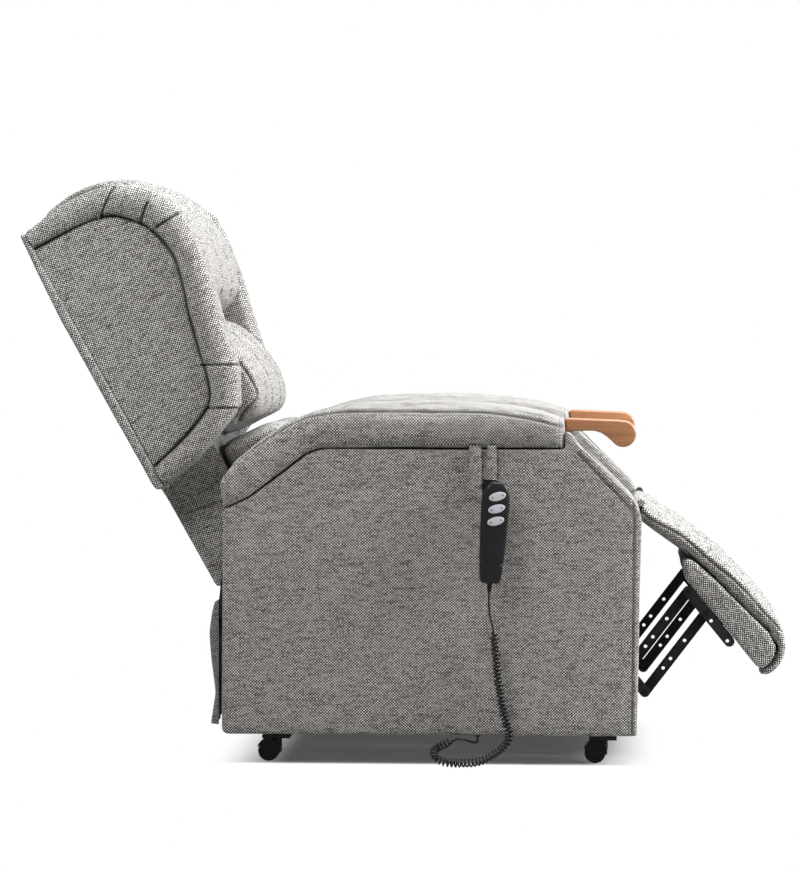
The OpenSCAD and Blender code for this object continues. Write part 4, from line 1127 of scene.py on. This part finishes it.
def makeOval(name, k, extra, low, high):
    pickNone()
    bpy.ops.mesh.primitive_cylinder_add(vertices=48, radius=1, depth=1)
    ob = bpy.context.active_object
    ob.name = name
    a, b = keySet["half"]
    for v in ob.data.vertices:
        v.co = ((a + extra) * v.co.x * mm, (b + extra) * v.co.y * mm, (high if v.co.z > 0 else low) * mm)
    ob.data.transform(keyPlace(k))
    return ob


def makeShell():
    pickNone()
    bpy.ops.mesh.primitive_circle_add(vertices=shellSet["sides"], radius=1, fill_type="NGON")
    shell = bpy.context.active_object
    shell.name = "handsetShell"
    rings = shellSet["rings"]
    z0, w0, d0 = rings[0]
    power = shellSet["power"]
    for v in shell.data.vertices:
        x, y = v.co.x, v.co.y
        v.co = (math.copysign(abs(x) ** power, x) * w0 * mm, math.copysign(abs(y) ** power, y) * d0 * mm,
                z0 * mm)
    editAll(shell)
    for (za, wa, da), (zb, wb, db) in zip(rings[:-1], rings[1:]):
        bpy.ops.mesh.extrude_region_move(TRANSFORM_OT_translate={"value": (0, 0, (zb - za) * mm)})
        bpy.ops.transform.resize(value=(wb / wa, db / da, 1), center_override=(0, 0, 0))
    bpy.ops.object.mode_set(mode="OBJECT")
    applyModifier(shell, "SUBSURF", levels=1, render_levels=1)
    shell.data.transform(handsetPlace())
    fixNormals(shell)
    for k in range(3):
        cutAway(shell, makeOval("keyWell", k, shellSet["gap"], -keySet["well"], 4))
    smoothShade(shell, 32)
    dress(shell, handPlastic, "handset", "plastic", "handset_shell")


def makeKeys():
    for k, node in enumerate(("key_top", "key_middle", "key_bottom")):
        name = "rocker" + node[4:].capitalize()
        ob = makeOval(name, k, 0, keySet["room"] - keySet["well"], keySet["rise"])
        bevelEdges(ob, 0.0009, 3)
        marks = []
        for s in (-1, 1):
            # a plain arrowhead at each end of the rocker
            pickNone()
            foot, tip, deep = keySet["mark"]
            bpy.ops.mesh.primitive_cone_add(vertices=3, radius1=foot, radius2=tip, depth=deep)
            mark = bpy.context.active_object
            mark.data.transform(turned(90 * s, "Z"))
            out = Matrix.Translation((s * keySet["markOut"], 0, keySet["rise"] * mm))
            mark.data.transform(keyPlace(k) @ out)
            mark.data.materials.append(handPlastic)
            marks.append(mark)
        setMaterial(ob, keyPlastic)
        joinInto(ob, marks)
        smoothShade(ob, 40)
        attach(ob, node)
        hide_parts(node)


makeShell()
makeKeys()
print("handset made")


# ---- the frame's own pieces keep their shape and take their finish ----

corners = ("rear_right", "rear_left", "front_right", "front_left")
finishes = {
    "blackSteel": ("base_frame", "lift_arms", "lift_links", "chassis_frame", "legrest_brackets",
                   "lower_links", "rear_links", "front_links"),
    "platedSteel": ("base_bolts", "chassis_bolts", "lift_rod", "back_rod"),
    "blackPlastic": ("lift_motor", "back_motor", "control_box", "leg_drive_block", "cable_gland",
                     "handset_clip", "cord_boot", *["castor_fork_" + corner for corner in corners]),
    "rubber": ["castor_wheels_" + corner for corner in corners],
    "castAlloy": ("leg_motor",),
    "plywood": ("back_board",),
    "tweed": ("arm_frames",),      # the arm boxes are covered at the rear too
    "lining": ("seat_deck",),
}
for finish, members in finishes.items():
    for member in members:
        for slot in nodes[member].material_slots:
            slot.material = bpy.data.materials[finish]
print("frame finished")


# ---- floor and light ----

stageSet = {
    "floor": 0.0, "lift": 0.075, "shade": 0.31, "world": 0.24,
    # the ground that the chair stands over, and how fast it turns white beyond it
    "middle": (0.055, 0.0), "half": (0.26, 0.352), "fade": (0.15, 0.022),
}


def seenRays(tree):
    # one where the camera looks, also by way of a gloss or through a clear piece
    path = addNode(tree, "LightPath").outputs
    other = maths(tree, "MAXIMUM", path["Is Glossy Ray"], path["Is Transmission Ray"])
    return maths(tree, "MAXIMUM", path["Is Camera Ray"], other)


def makeStage():
    pickNone()
    bpy.ops.mesh.primitive_plane_add(size=40, location=(0, 0, stageSet["floor"] - 0.0006))
    floor = bpy.context.active_object
    floor.name = "floor"
    freeze(floor)
    material, tree, shader = newMaterial("floorWhite")
    tree.nodes.remove(shader)
    seen = seenRays(tree)
    grey = addNode(tree, "BsdfDiffuse", {"Color": (stageSet["shade"],) * 3 + (1,)})
    # a faint glow for the camera's rays: painted light that lifts the floor's shadow under the chair
    lift = times(tree, seen, stageSet["lift"])
    glow = addNode(tree, "Emission", {"Color": (1, 1, 1, 1), "Strength": lift})
    near = addNode(tree, "AddShader", {0: grey.outputs[0], 1: glow.outputs[0]})
    # past the chair's shadow the floor is as white as the wall
    at = splitXyz(tree, addNode(tree, "TexCoord").outputs["Object"])
    past = []
    for axis in (0, 1):
        off = maths(tree, "ABSOLUTE", maths(tree, "SUBTRACT", at[axis], stageSet["middle"][axis]))
        off = maths(tree, "SUBTRACT", off, stageSet["half"][axis])
        off = maths(tree, "DIVIDE", off, stageSet["fade"][axis])
        past.append(maths(tree, "MAXIMUM", off, 0.0))
    out = joinXyz(tree, *past)
    out = addNode(tree, "VectorMath", {0: out}, operation="LENGTH").outputs["Value"]
    fade = addNode(tree, "MapRange", {0: out}, interpolation_type="SMOOTHSTEP").outputs[0]
    white = addNode(tree, "Emission", {"Color": (1, 1, 1, 1), "Strength": 1.0})
    mix = {0: times(tree, fade, seen), 1: near.outputs[0], 2: white.outputs[0]}
    both = addNode(tree, "MixShader", mix)
    tree.links.new(both.outputs[0], tree.nodes["Material Output"].inputs["Surface"])
    floor.data.materials.append(material)

    world = bpy.data.worlds.new("studio")
    bpy.context.scene.world = world
    world.use_nodes = True
    tree = world.node_tree
    back = tree.nodes["Background"]
    seen = seenRays(tree)
    strength = maths(tree, "MULTIPLY_ADD", seen, 1 - stageSet["world"], stageSet["world"])
    back.inputs["Color"].default_value = (1, 1, 1, 1)
    tree.links.new(strength, back.inputs["Strength"])


lampTint = (0.93, 0.965, 1.0)
lampSet = {
    # place, aim, size, watts
    "top": ((0.9, 0.2, 3.3), (0.05, 0, 0.5), 2.2, 155.0),
    "front": ((3.2, -0.5, 2.0), (0.1, 0, 0.5), 1.8, 245.0),
    "shoulder": ((-0.95, -1.5, 2.1), (-0.45, -0.3, 0.8), 0.9, 33.0),
}


def makeLamps():
    for name, (place, aim, size, watts) in lampSet.items():
        data = bpy.data.lights.new(name, "AREA")
        data.shape = "DISK"
        data.size = size
        data.color = lampTint
        data.energy = watts
        lamp = addObject(name, data)
        lamp.location = place
        lamp.rotation_euler = (Vector(aim) - Vector(place)).to_track_quat("-Z", "Y").to_euler()


makeStage()
makeLamps()
bpy.context.scene.view_settings.view_transform = "Standard"
print("stage and lamps made")

pickNone()
